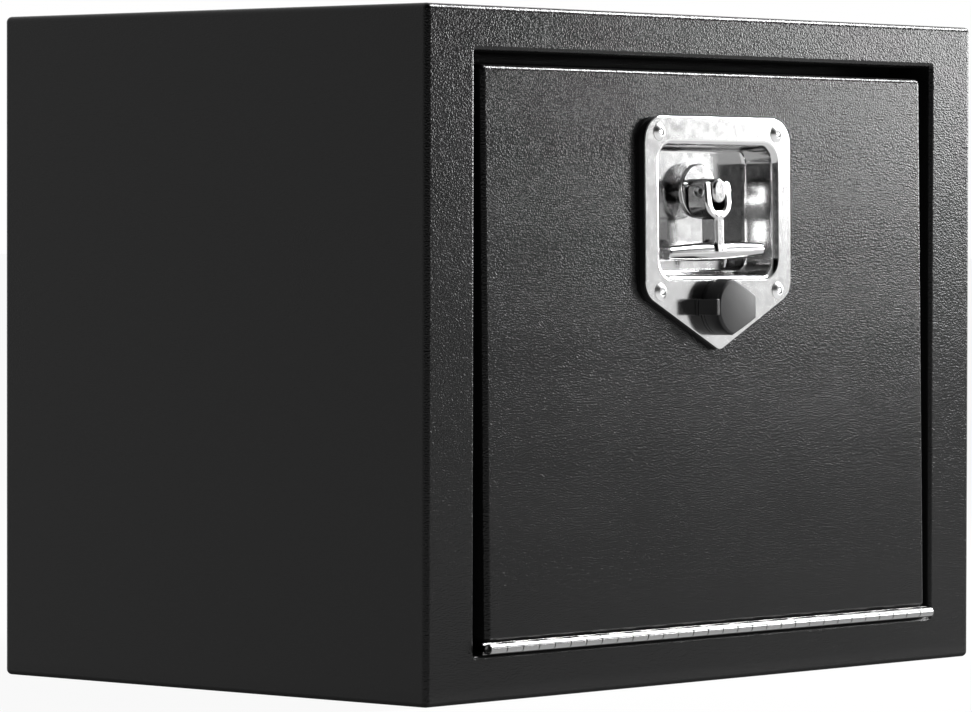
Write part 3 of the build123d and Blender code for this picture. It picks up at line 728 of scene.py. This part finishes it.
def yoke_distance(across, depth, up):
    """A U, open at the top, whose front leans back a little."""
    middle = (YOKE_TOP + YOKE_BOTTOM) / 2
    half = (YOKE_TOP - YOKE_BOTTOM) / 2
    corner = np.where(up < middle, YOKE_CORNER, YOKE_TOP_CORNER)
    beyond = np.abs(np.stack([across, up - middle], -1)) - (YOKE_HALF, half) + corner[..., None]
    outline = np.linalg.norm(np.maximum(beyond, 0), axis=-1) + np.minimum(beyond.max(-1), 0) - corner
    face = YOKE_FACE + (up - YOKE_BOTTOM) * YOKE_SLANT
    yoke = thick(outline, depth, face, YOKE_BACK, YOKE_EDGE)
    heel = rounded_box(
        np.stack([depth, up], -1),
        (-YOKE_BACK, YOKE_BOTTOM),
        (2 * YOKE_BACK, YOKE_TOP - YOKE_BOTTOM),
        YOKE_HEEL,
    )
    slot_bottom = YOKE_BOTTOM + YOKE_WEB
    slot_reach = 2 * (YOKE_TOP - slot_bottom)
    slot = rounded_box(
        np.stack([across, up], -1),
        (0, slot_bottom + slot_reach),
        (YOKE_HALF - YOKE_CHEEK, slot_reach),
        YOKE_CORNER - YOKE_CHEEK,
    )
    return soft_cut(-soft_join(-yoke, -heel, YOKE_EDGE), slot, SLOT_EDGE)


def nub_distance(across, depth, up):
    """The small tooth under the bar, which tapers to a blunt tip."""
    tip = NUB_LOW + NUB_TIP
    height = np.clip(up, tip, -BAR_DROP)
    radius = NUB_TIP + (NUB_ROOT - NUB_TIP) * (height - tip) / (-BAR_DROP - tip)
    return np.sqrt((across - NUB_ACROSS) ** 2 + (depth - BAR_DEPTH) ** 2 + (up - height) ** 2) - radius


def handle_distance(spots):
    """The whole handle, with the cross pin's hole."""
    across, depth, up = spots[..., 0], spots[..., 1], spots[..., 2]
    middle = (YOKE_BOTTOM + YOKE_WEB / 2 - BAR_DROP) / 2
    stem = rounded_box(
        spots[..., :2],
        (0, (STEM_FACE + STEM_BACK) / 2),
        (STEM_HALF, (STEM_BACK - STEM_FACE) / 2),
        STEM_CORNER,
    )
    stem = np.maximum(stem, np.abs(up - middle) - (middle + BAR_DROP))
    swell = BAR_MIDDLE - (BAR_MIDDLE - BAR_END) * (across / BAR_HALF) ** 2
    round_bar = np.hypot(depth - BAR_DEPTH, up + BAR_DROP) - swell
    bar = thick(round_bar, across, -BAR_HALF, BAR_HALF, BAR_EDGE)
    handle = soft_join(yoke_distance(across, depth, up), stem, CAST_BLEND / 2)
    handle = soft_join(handle, bar, CAST_BLEND)
    handle = soft_join(handle, nub_distance(across, depth, up), CAST_BLEND / 4)
    pin = np.hypot(depth - PIN_DEPTH, up) - PIN_RADIUS
    return np.maximum(handle, -pin)


def t_handle():
    """Cast handle: yoke, stem and swelling bar that run into each other."""
    low = (-BAR_HALF, YOKE_FACE, NUB_LOW)
    high = (BAR_HALF, YOKE_BACK, YOKE_TOP)
    return cast(handle_distance, low, high, CAST_CELL).build("t_handle_casting", HANDLE)


# Edges of turned and threaded parts, in millimetres
FINE_EDGE = 0.1
CRISP_EDGE = 0.15
SOFT_EDGE = 0.3

# Spindle, in millimetres
TONGUE_HALF = (5.35, 6.6)
TONGUE_CORNER = 5.2
TONGUE_DOME = 1.6
TONGUE_TIP = -1.0
DISC_RADIUS = 14.6
DISC_FACE = 13.5
DISC_BACK = 16.1
DISC_EDGE = 0.8
DISC_GROOVE_WIDTH = 0.7
DISC_GROOVE_DEPTH = 0.5
SHAFT_RADIUS = 5.0
SHAFT_EDGE = 0.4
CAM_FRONT = 34.31
CAM_SHEET = 3.0
SQUARE_HALF = 3.5
SQUARE_EDGE = 0.5
SQUARE_SINK = 1
THREAD_RADIUS = 3.4
THREAD_PITCH = 1.0
THREAD_DEPTH = 0.55
THREAD_END = 43.31
THREAD_STEPS = 36
THREAD_FOOT = 0.15
THREAD_CREST = (0.45, 0.6)
THREAD_HEEL = 0.9


def tongue_distance(spots):
    """The flat tongue that the yoke straddles, with round edges."""
    outline = rounded_box(spots[..., 0::2], (0, 0), TONGUE_HALF, TONGUE_CORNER)
    return thick(outline, spots[..., 1], TONGUE_TIP, DISC_FACE + 2 * TONGUE_DOME, TONGUE_DOME)


def thread(skin, crest, near, far):
    """A screw thread whose crests rise evenly round the shaft."""
    turns = math.ceil((far - near) / THREAD_PITCH) + 1
    root = crest - THREAD_DEPTH
    tooth = [(root, 0), (root, THREAD_FOOT)]
    tooth += [(crest, share) for share in THREAD_CREST]
    tooth += [(root, THREAD_HEEL), (root, 1)]
    rows = []
    facing = []
    for step in range(turns * THREAD_STEPS + 1):
        angle = 2 * math.pi * step / THREAD_STEPS
        start = near + THREAD_PITCH * (step / THREAD_STEPS - 1)
        spoke = np.array([math.cos(angle), 0, math.sin(angle)])
        row = []
        for radius, share in tooth:
            depth = min(max(start + share * THREAD_PITCH, near), far)
            row.append(spoke * radius + (0, depth, 0))
        rows.append(row)
        facing.append([spoke] * len(row))
    skin.grid(np.array(rows), np.array(facing), wrap=False)


def spindle():
    """Tongue with a domed nose, shaft, square and screw thread."""
    skin = cast(
        tongue_distance,
        (-TONGUE_HALF[0], TONGUE_TIP, -TONGUE_HALF[1]),
        (TONGUE_HALF[0], DISC_FACE + 2 * TONGUE_DOME, TONGUE_HALF[1]),
        CAST_CELL,
    )
    skin.lathe(rounded([
        (0, DISC_FACE, 0),
        (SHAFT_RADIUS, DISC_FACE, 0),
        (SHAFT_RADIUS, CAM_FRONT, SHAFT_EDGE),
        (0, CAM_FRONT, 0),
    ], closed=False))
    square = rectangle(-SQUARE_HALF, SQUARE_HALF, -SQUARE_HALF, SQUARE_HALF, SQUARE_EDGE)
    cam_back = CAM_FRONT + CAM_SHEET
    skin.around(square, rounded([
        (0, CAM_FRONT - SQUARE_SINK, 0),
        (0, cam_back, 0),
        (-SQUARE_HALF, cam_back, 0),
    ], closed=False))
    thread(skin, THREAD_RADIUS, cam_back, THREAD_END)
    root = THREAD_RADIUS - THREAD_DEPTH
    skin.lathe(rounded([
        (root, cam_back, 0),
        (root, THREAD_END, SOFT_EDGE),
        (0, THREAD_END, 0),
    ], closed=False))
    return skin.build("spindle_bar", HANDLE)


def spindle_disc():
    """Turned disc in front of the dish floor, with a groove round its rim."""
    middle = (DISC_FACE + DISC_BACK) / 2
    near = middle - DISC_GROOVE_WIDTH / 2
    far = middle + DISC_GROOVE_WIDTH / 2
    inner = DISC_RADIUS - DISC_GROOVE_DEPTH
    skin = Skin()
    skin.lathe(rounded([
        (SHAFT_RADIUS, DISC_FACE, 0),
        (DISC_RADIUS, DISC_FACE, DISC_EDGE),
        (DISC_RADIUS, near, CRISP_EDGE),
        (inner, near, FINE_EDGE),
        (inner, far, FINE_EDGE),
        (DISC_RADIUS, far, CRISP_EDGE),
        (DISC_RADIUS, DISC_BACK, SOFT_EDGE),
        (SHAFT_RADIUS, DISC_BACK, 0),
        (SHAFT_RADIUS, DISC_FACE, 0),
    ], closed=False), steps=96)
    return skin.build("spindle_disc", HANDLE)


# Rivets, in millimetres
RIVET_HEAD = 4.6
RIVET_RISE = 2.4
RIVET_RIM = 0.35
RIVET_CROWN_BEND = 2.0
RIVET_HOLE = 1.9
RIVET_LIP = 0.25
RIVET_HOLE_DEPTH = 1.8
RIVET_STEM = 1.3
RIVET_STEM_RISE = 1.0
RIVET_SHANK = 2.4
RIVET_TAIL = 3.6
RIVET_TAIL_RISE = 3.0
RIVET_TAIL_NEAR_EDGE = 0.5
RIVET_TAIL_FAR_EDGE = 1.2
DOOR_INSIDE = 5.9


def latch_rivet(skin, centre):
    """Blind rivet: domed head with a hollow, the stem's stub, shank and bulged tail."""
    ball = (RIVET_HEAD ** 2 + RIVET_RISE ** 2) / (2 * RIVET_RISE)
    start = math.asin((RIVET_HOLE + RIVET_LIP) / ball)
    end = math.asin(RIVET_HEAD / ball)

    def on_dome(angle):
        return ball * math.sin(angle), ball - RIVET_RISE - ball * math.cos(angle)

    crown = [(*on_dome(angle), RIVET_CROWN_BEND) for angle in np.linspace(start, end, 5)[1:-1]]
    hole_floor = RIVET_HOLE_DEPTH - RIVET_RISE
    stem_top = hole_floor - RIVET_STEM_RISE
    tail = DOOR_INSIDE + RIVET_TAIL_RISE
    skin.lathe(rounded([
        (0, stem_top, 0),
        (RIVET_STEM, stem_top, SOFT_EDGE),
        (RIVET_STEM, hole_floor, CRISP_EDGE),
        (RIVET_HOLE, hole_floor, CRISP_EDGE),
        (RIVET_HOLE, on_dome(start)[1], RIVET_LIP),
        *crown,
        (RIVET_HEAD, -RIVET_RIM, SOFT_EDGE),
        (RIVET_HEAD, 0, 0),
        (RIVET_SHANK, 0, 0),
        (RIVET_SHANK, DOOR_INSIDE, 0),
        (RIVET_TAIL, DOOR_INSIDE, RIVET_TAIL_NEAR_EDGE),
        (RIVET_TAIL, tail, RIVET_TAIL_FAR_EDGE),
        (0, tail, 0),
    ], closed=False), centre=centre, steps=56)


def latch_rivets():
    """The four rivets of the latch plate."""
    skin = Skin()
    for side in (-1, 1):
        for drop in (RIVET_TOP_BORDER, RIVET_TOP_BORDER + RIVET_DROP):
            latch_rivet(skin, (side * RIVET_SPREAD / 2, PLATE_HIGH[2] - drop))
    return skin.build("latch_blind_rivets", LATCH)


# Hollow cross pin, in millimetres
PIN_BORE = 1.7
PIN_HEAD = 3.7
PIN_HEAD_RISE = 0.9
PIN_HEAD_EDGE = 0.45
PIN_RECESS = 2.8
PIN_RECESS_DEPTH = 2.2


def handle_pin():
    """Hollow pin across the yoke with rolled ends."""
    reach = YOKE_HALF + PIN_HEAD_RISE
    points, normals = rounded([
        (PIN_BORE, 0, 0),
        (PIN_BORE, PIN_RECESS_DEPTH - reach, FINE_EDGE),
        (PIN_RECESS, PIN_RECESS_DEPTH - reach, SOFT_EDGE),
        (PIN_RECESS, -reach, SOFT_EDGE),
        (PIN_HEAD, -reach, PIN_HEAD_EDGE),
        (PIN_HEAD, -YOKE_HALF, SOFT_EDGE),
        (PIN_RADIUS, -YOKE_HALF, 0),
        (PIN_RADIUS, 0, 0),
    ], closed=False)
    skin = Skin()
    for side in (1, -1):
        skin.lathe((points * (1, side), normals * (1, side)))
    place = HANDLE @ Matrix.Translation((0, PIN_DEPTH * MM, 0)) @ Matrix.Rotation(math.pi / 2, 4, "Z")
    return skin.build("handle_cross_pin", place)


# Rubber cap over the lock, in millimetres, from the lock's axis
CAP_FACE = -12.3
CAP_SEAT = -1.1
CAP_RADIUS = 15.3
CAP_FLANK = math.radians(101)
CAP_NOSE = 16.8
CAP_NOSE_HALF = 6.0
CAP_WALL = 2.0
CAP_DOME = 0.8
CAP_LEFT_EDGE = 1.6
CAP_NOSE_EDGE = 1.0
STRAP_LEFT = -19.7
STRAP_RIGHT = -17.1
STRAP_HALF = 4.3
STRAP_FACE = -13.8
STRAP_EDGE = 0.4
WEB_NEAR = -9.3
WEB_FAR = -6.9


def cap_outline(steps=40):
    """Front view of the cap: round on its left, with straight flanks to a flat nose on its right."""
    angles = np.linspace(CAP_FLANK, 2 * math.pi - CAP_FLANK, steps)
    arc = CAP_RADIUS * np.stack([np.cos(angles), np.sin(angles)], -1)
    return np.concatenate([arc, [(CAP_NOSE, -CAP_NOSE_HALF), (CAP_NOSE, CAP_NOSE_HALF)]])


def outline_distance(outline, spots):
    """Distance to a closed outline, negative inside it."""
    nearest = np.full(spots.shape[:-1], np.inf)
    inside = np.zeros(spots.shape[:-1], bool)
    for start, end in zip(outline, np.roll(outline, -1, axis=0)):
        along = end - start
        offset = spots - start
        share = np.clip((offset @ along) / (along @ along), 0, 1)
        nearest = np.minimum(nearest, np.linalg.norm(offset - share[..., None] * along, axis=-1))
        above = (start[1] > spots[..., 1]) != (end[1] > spots[..., 1])
        rise = end[1] - start[1] or 1.0
        inside ^= above & (spots[..., 0] < start[0] + (spots[..., 1] - start[1]) * along[0] / rise)
    return np.where(inside, -nearest, nearest)


def upright_box(spots, left, right, near, far, half):
    """Distance to a soft box that is half as tall on each side of the lock's axis."""
    centre = ((left + right) / 2, (near + far) / 2, 0)
    return rounded_box(spots, centre, ((right - left) / 2, (far - near) / 2, half), STRAP_EDGE)


def cap_distance(spots):
    """The hollow cap with its domed face, its strap and the web between them."""
    across, depth = spots[..., 0], spots[..., 1]
    edge = outline_distance(cap_outline(), spots[..., 0::2])
    bend = np.interp(across, (-CAP_RADIUS, CAP_RADIUS / 3), (CAP_LEFT_EDGE, CAP_NOSE_EDGE))
    dome = CAP_DOME * (across ** 2 + spots[..., 2] ** 2) / CAP_RADIUS ** 2
    cap = thick(edge, depth - dome, CAP_FACE, 0, bend)
    cap = np.maximum(cap, depth - CAP_SEAT)
    strap = upright_box(spots, STRAP_LEFT, STRAP_RIGHT, STRAP_FACE, CAP_SEAT, STRAP_HALF)
    web = upright_box(spots, STRAP_LEFT, CAP_WALL - CAP_RADIUS, WEB_NEAR, WEB_FAR, STRAP_HALF)
    cap = np.minimum(cap, np.minimum(strap, web))
    hollow = thick(edge + CAP_WALL, depth, CAP_FACE + CAP_WALL, -CAP_FACE, CAP_NOSE_EDGE)
    return soft_cut(cap, hollow, CAP_NOSE_EDGE / 2)


def dust_cap():
    """Hollow rubber cap with its strap beside it and the web between them."""
    low = (STRAP_LEFT, STRAP_FACE, -CAP_RADIUS)
    high = (CAP_NOSE, CAP_SEAT, CAP_RADIUS)
    return cast(cap_distance, low, high, CAST_CELL).build("dust_cap_rubber", LOCK)


# Piano hinge, in millimetres: back from its pin, along it, and up
HINGE = joint_place("door_swing") @ Matrix.Rotation(math.pi / 2, 4, "Z")
DOOR_HINGE = joint_place("door_swing") @ Matrix.Rotation(-LEAN, 4, "X") @ Matrix.Rotation(math.pi / 2, 4, "Z")
HINGE_HALF = local_box("hinge_frame_leaf", HINGE)[1][1]
KNUCKLE_COUNT = 30
KNUCKLE_GAP = 0.6
KNUCKLE_EDGE = 0.3
BARREL = 2.7
BARREL_BORE = 1.25
END_HOLLOW = 1.9
END_HOLLOW_DEPTH = 1.0
LEAF_TOP = 3.0
LEAF_JOGGLE = 0.7
JOGGLE_BELOW = (1.8, 3.2)
JOGGLE_ABOVE = (2.0, 3.4)
JOGGLE_BEND = 0.5
LEAF_SHEET = 1.2
LEAF_NEAR = 3.1
LEAF_FAR = 21.0
LEAF_EDGE = 0.12


def strip(skin, corners, side, near, far):
    """A sheet strip with soft edges between two places along the hinge; side -1 turns it upside down."""
    placed = [(back, side * up, bend) for back, up, bend in corners][::side]
    outline = rounded(placed, steps=3)
    skin.around(outline, rounded([
        (-2 * LEAF_EDGE, near, 0),
        (0, near, LEAF_EDGE),
        (0, far, LEAF_EDGE),
        (-2 * LEAF_EDGE, far, 0),
    ], closed=False, steps=3))
    for place, facing in ((near, -1), (far, 1)):
        skin.flat([grown(outline, -2 * LEAF_EDGE)], place, facing)


def knuckle(skin, near, far, hollows):
    """A rolled knuckle; an outer one is opened out at the hinge's end."""
    middle = (near + far) / 2
    profile = [(BARREL_BORE, middle, 0)]
    for end, inwards, hollow in ((near, 1, hollows[0]), (far, -1, hollows[1])):
        start = end + inwards * END_HOLLOW_DEPTH * hollow
        steps = [(BARREL_BORE, start, FINE_EDGE)]
        if hollow:
            steps += [(END_HOLLOW, start, FINE_EDGE), (END_HOLLOW, end, CRISP_EDGE)]
        steps += [(BARREL, end, KNUCKLE_EDGE)]
        profile += steps[::inwards]
    profile.append(profile[0])
    skin.lathe(rounded(profile, closed=False, steps=4), steps=36)


def hinge_leaf(name, side, place):
    """A leaf and its knuckles, every second one along the hinge: side -1 is the box's leaf, 1 the door's."""
    low = LEAF_TOP - LEAF_SHEET
    root = [
        (0, LEAF_TOP - LEAF_JOGGLE, 0),
        (0, low - LEAF_JOGGLE, 0),
        (JOGGLE_BELOW[0], low - LEAF_JOGGLE, JOGGLE_BEND),
        (JOGGLE_BELOW[1], low, JOGGLE_BEND),
        (LEAF_NEAR + LEAF_SHEET, low, 0),
        (LEAF_NEAR + LEAF_SHEET, LEAF_TOP, 0),
        (JOGGLE_ABOVE[1], LEAF_TOP, JOGGLE_BEND),
        (JOGGLE_ABOVE[0], LEAF_TOP - LEAF_JOGGLE, JOGGLE_BEND),
    ]
    spots = ((LEAF_NEAR, LEAF_TOP), (LEAF_NEAR, low), (LEAF_FAR, low), (LEAF_FAR, LEAF_TOP))
    sheet = [(*spot, LEAF_EDGE) for spot in spots]
    skin = Skin()
    strip(skin, sheet, side, -HINGE_HALF, HINGE_HALF)
    pitch = 2 * HINGE_HALF / KNUCKLE_COUNT
    for index in range(0 if side < 0 else 1, KNUCKLE_COUNT, 2):
        left = pitch * index - HINGE_HALF
        near = -left - pitch + KNUCKLE_GAP / 2
        far = -left - KNUCKLE_GAP / 2
        knuckle(skin, near, far, (index == KNUCKLE_COUNT - 1, index == 0))
        strip(skin, root, side, near + KNUCKLE_EDGE, far - KNUCKLE_EDGE)
    return skin.build(name, place)


# Lock, cam and nuts, in millimetres from their own axes
LOCK_BODY = 8.0
LOCK_BORE = 5.65
LOCK_RIM_HEIGHT = 4.6
LOCK_RIM_EDGE = 0.8
PLUG_EDGE = 0.3
KEYWAY_HALF = (0.8, 3.5)
KEYWAY_DEPTH = 9.0
KEYWAY_EDGE = 0.25
PAWL_REACH = 24.0
PAWL_ARM = (5.0, 11.0)
PAWL_HUB = 6.0
PAWL_CORNER = 1.0
SCREW_RADIUS = 2.5
SCREW_HEAD_HEIGHT = 2.5
SCREW_HEAD_EDGE = 0.9
SCREW_SOCKET_FLATS = 4.0
SCREW_SOCKET_DEPTH = 1.5
SCREW_SHANK_END = 1
CAM_REACH = 68.0
CAM_TAIL_REACH = 45.0
CAM_HUB = 11.0
CAM_TIP = 7.0
CAM_TAIL_TIP = 4.0
SHEET_EDGE = 0.45
NUT_CORNER = 0.8
NUT_SLOPE = (0.5, 0.87)
NUT_BORE_SLOPE = 0.7
SMALL_CELL = 0.3
CAM_CELL = 0.55


def lock_housing():
    """Threaded lock body behind its round rim."""
    low, high = local_box("lock_housing", LOCK)
    near, far = low[1], high[1]
    rim_back = near + LOCK_RIM_HEIGHT
    middle = (near + far) / 2
    root = LOCK_BODY - THREAD_DEPTH
    skin = Skin()
    skin.lathe(rounded([
        (LOCK_BORE, middle, 0),
        (LOCK_BORE, near, PLUG_EDGE),
        (high[0], near, LOCK_RIM_EDGE),
        (high[0], rim_back, PLUG_EDGE),
        (root, rim_back, 0),
        (root, far, 2 * PLUG_EDGE),
        (LOCK_BORE, far, PLUG_EDGE),
        (LOCK_BORE, middle, 0),
    ], closed=False), steps=72)
    thread(skin, LOCK_BODY, rim_back, far - 2 * THREAD_PITCH)
    return skin.build("lock_body", LOCK)


def lock_plug():
    """Key plug with a soft-edged keyway."""
    low, high = local_box("lock_plug", LOCK)

    def distance(spots):
        around = np.hypot(spots[..., 0], spots[..., 2])
        plug = thick(around - high[0], spots[..., 1], low[1], high[1], PLUG_EDGE)
        keyway = rounded_box(spots[..., 0::2], (0, 0), KEYWAY_HALF, KEYWAY_EDGE)
        keyway = np.maximum(keyway, spots[..., 1] - low[1] - KEYWAY_DEPTH)
        return soft_cut(plug, keyway, KEYWAY_EDGE)

    return cast(distance, low, high, SMALL_CELL).build("key_plug_core", LOCK)


def lock_pawl():
    """Cranked arm cut from sheet."""
    low, high = local_box("lock_pawl", LOCK)
    inner, outer = PAWL_ARM

    def distance(spots):
        flat = spots[..., 0::2]
        around = np.linalg.norm(flat, axis=-1)
        arm_centre = (-PAWL_REACH / 2, -(inner + outer) / 2)
        arm = rounded_box(flat, arm_centre, (PAWL_REACH / 2, (outer - inner) / 2), PAWL_CORNER)
        neck = rounded_box(flat, (-PAWL_HUB / 2, -outer / 2), (PAWL_HUB / 2, outer / 2), PAWL_CORNER)
        outline = np.minimum(np.minimum(arm, neck), around - PAWL_HUB)
        return thick(np.maximum(outline, SCREW_RADIUS - around), spots[..., 1], low[1], high[1], SHEET_EDGE)

    return cast(distance, low, high, CAST_CELL).build("lock_pawl_arm", LOCK)


def hexagon_distance(flat, flats):
    """Distance to the sides of a hexagon with a corner on its right."""
    turns = np.radians((30, 90, 150))
    reach = [np.abs(flat[..., 0] * math.cos(turn) + flat[..., 1] * math.sin(turn)) for turn in turns]
    return np.max(reach, axis=0) - flats / 2


def pawl_screw():
    """Round-headed screw with a hexagon socket."""
    low, high = local_box("pawl_screw", LOCK)
    head_front = high[1] - SCREW_HEAD_HEIGHT

    def distance(spots):
        around = np.hypot(spots[..., 0], spots[..., 2])
        head = thick(around - high[0], spots[..., 1], head_front, high[1], SCREW_HEAD_EDGE)
        shank = thick(around - SCREW_RADIUS, spots[..., 1], low[1], high[1] - SCREW_SHANK_END, PLUG_EDGE)
        socket = hexagon_distance(spots[..., 0::2], SCREW_SOCKET_FLATS)
        socket = np.maximum(socket, high[1] - SCREW_SOCKET_DEPTH - spots[..., 1])
        return soft_cut(np.minimum(head, shank), socket, KEYWAY_EDGE)

    return cast(distance, low, high, SMALL_CELL).build("pawl_round_screw", LOCK)


def nut(name, node, place, bore):
    """Hexagon nut whose corners are turned off at both ends."""
    low, high = local_box(node, place)
    flats = high[2] - low[2]

    def distance(spots):
        around = np.hypot(spots[..., 0], spots[..., 2])
        depth = np.abs(spots[..., 1] - (low[1] + high[1]) / 2) - (high[1] - low[1]) / 2
        body = np.maximum(hexagon_distance(spots[..., 0::2], flats), depth)
        turned = (around - flats / 2) * NUT_SLOPE[0] + depth * NUT_SLOPE[1]
        chamfer = (bore - around + depth + NUT_CORNER / 2) * NUT_BORE_SLOPE
        return np.maximum(np.maximum(body, turned), np.maximum(bore - around, chamfer))

    return cast(distance, low, high, CAST_CELL).build(name, place)


def arm_distance(along, off, reach, root, tip):
    """Distance to a tapered arm from a round root to a round tip."""
    length = reach - tip
    slope = (root - tip) / length
    level = math.sqrt(1 - slope ** 2)
    side = np.abs(off)
    turn = level * along - slope * side
    flank = level * side + slope * along - root
    end = np.where(turn > level * length, np.hypot(side, along - length) - tip, flank)
    return np.where(turn < 0, np.hypot(side, along) - root, end)


def latch_cam():
    """Latch arm and its tail, cut from sheet, with a square hole."""
    low, high = local_box("latch_cam", HANDLE)

    def distance(spots):
        across, up = spots[..., 0], spots[..., 2]
        arm = arm_distance(across, up, CAM_REACH, CAM_HUB, CAM_TIP)
        tail = arm_distance(-across, up, CAM_TAIL_REACH, CAM_HUB, CAM_TAIL_TIP)
        hole = rounded_box(spots[..., 0::2], (0, 0), (SQUARE_HALF, SQUARE_HALF), SHEET_EDGE)
        outline = np.maximum(soft_join(arm, tail, CAST_BLEND), -hole)
        return thick(outline, spots[..., 1], low[1], high[1], SHEET_EDGE)

    return cast(distance, low, high, CAM_CELL).build("latch_cam_arm", HANDLE)


# Hinge rivets, in millimetres
HINGE_RIVETS = 8
HINGE_RIVET_HEAD = 3.0
HINGE_RIVET_RISE = 0.9
HINGE_RIVET_CROWN = (0.6, 0.1, 1.5)
HINGE_RIVET_FLANK = 0.7
HINGE_RIVET_EDGES = (0.2, 0.05)
HINGE_RIVET_SHANK = 1.6
HINGE_RIVET_TAIL = 2.4
HINGE_RIVET_TAIL_RISE = 1.4
HINGE_RIVET_TAIL_EDGE = 0.6


def hinge_rivets(name, node, place, side):
    """Domed rivets through one leaf: their heads face down for side 1, up for side -1."""
    low, high = local_box(node, place)
    tall = high[2] - low[2]
    start = low[2] if side > 0 else high[2]
    tail = tall - HINGE_RIVET_TAIL_RISE
    crown, drop, bend = HINGE_RIVET_CROWN
    points, normals = rounded([
        (0, 0, 0),
        (HINGE_RIVET_HEAD * crown, drop, bend),
        (HINGE_RIVET_HEAD, HINGE_RIVET_RISE * HINGE_RIVET_FLANK, HINGE_RIVET_EDGES[0]),
        (HINGE_RIVET_HEAD, HINGE_RIVET_RISE, HINGE_RIVET_EDGES[1]),
        (HINGE_RIVET_SHANK, HINGE_RIVET_RISE, 0),
        (HINGE_RIVET_SHANK, tail, 0),
        (HINGE_RIVET_TAIL, tail, SOFT_EDGE),
        (HINGE_RIVET_TAIL, tall, HINGE_RIVET_TAIL_EDGE),
        (0, tall, 0),
    ], closed=False)
    profile = (points * (1, side) + (0, start), normals * (1, side))
    back = (low[0] + high[0]) / 2
    step = (high[1] - low[1] - 2 * HINGE_RIVET_HEAD) / (HINGE_RIVETS - 1)
    skin = Skin()
    for index in range(HINGE_RIVETS):
        along = low[1] + HINGE_RIVET_HEAD + step * index
        skin.lathe(profile, centre=(back, -along), steps=32)
    return skin.build(name, place @ Matrix.Rotation(math.pi / 2, 4, "X"))


NODE_SLOTS = {part["node"]: part["material_slot"] for part in frame["record"]["subparts"]}


def fit(piece, body, node, look=None):
    """The piece stands for a CAD node, moves with its body and takes its material."""
    piece.data.materials.append(look or MATERIALS[NODE_SLOTS[node]])
    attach(piece, body)
    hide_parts(node)


make_camera()
make_lights()
make_world()
make_floor()
dress_nodes()
fit(latch_plate(), "door", "latch_plate")
fit(latch_rivets(), "door", "latch_rivets", polished("satin_rivet", grey(0.8), roughness=0.36))
fit(t_handle(), "folding_handle", "t_handle")
fit(handle_pin(), "folding_handle", "handle_pin")
fit(spindle(), "latch_spindle", "spindle")
fit(spindle_disc(), "latch_spindle", "spindle_flange")
fit(dust_cap(), "flip_cap", "dust_cap")
fit(lock_housing(), "door", "lock_housing")
fit(lock_plug(), "key_plug", "lock_plug")
fit(lock_pawl(), "key_plug", "lock_pawl")
fit(pawl_screw(), "key_plug", "pawl_screw")
fit(nut("lock_hexagon", "lock_nut", LOCK, LOCK_BODY), "door", "lock_nut")
fit(nut("cam_hexagon", "cam_nut", LATCH, THREAD_RADIUS), "latch_spindle", "cam_nut")
fit(latch_cam(), "latch_spindle", "latch_cam")
fit(hinge_leaf("hinge_box_leaf", -1, HINGE), "box", "hinge_frame_leaf")
fit(hinge_leaf("hinge_door_strip", 1, DOOR_HINGE), "door", "hinge_door_leaf")
fit(hinge_rivets("hinge_box_rivets", "hinge_frame_rivets", HINGE, -1), "box", "hinge_frame_rivets")
fit(hinge_rivets("hinge_leaf_rivets", "hinge_door_rivets", DOOR_HINGE, 1), "door", "hinge_door_rivets")
bpy.context.scene.view_settings.view_transform = "Standard"
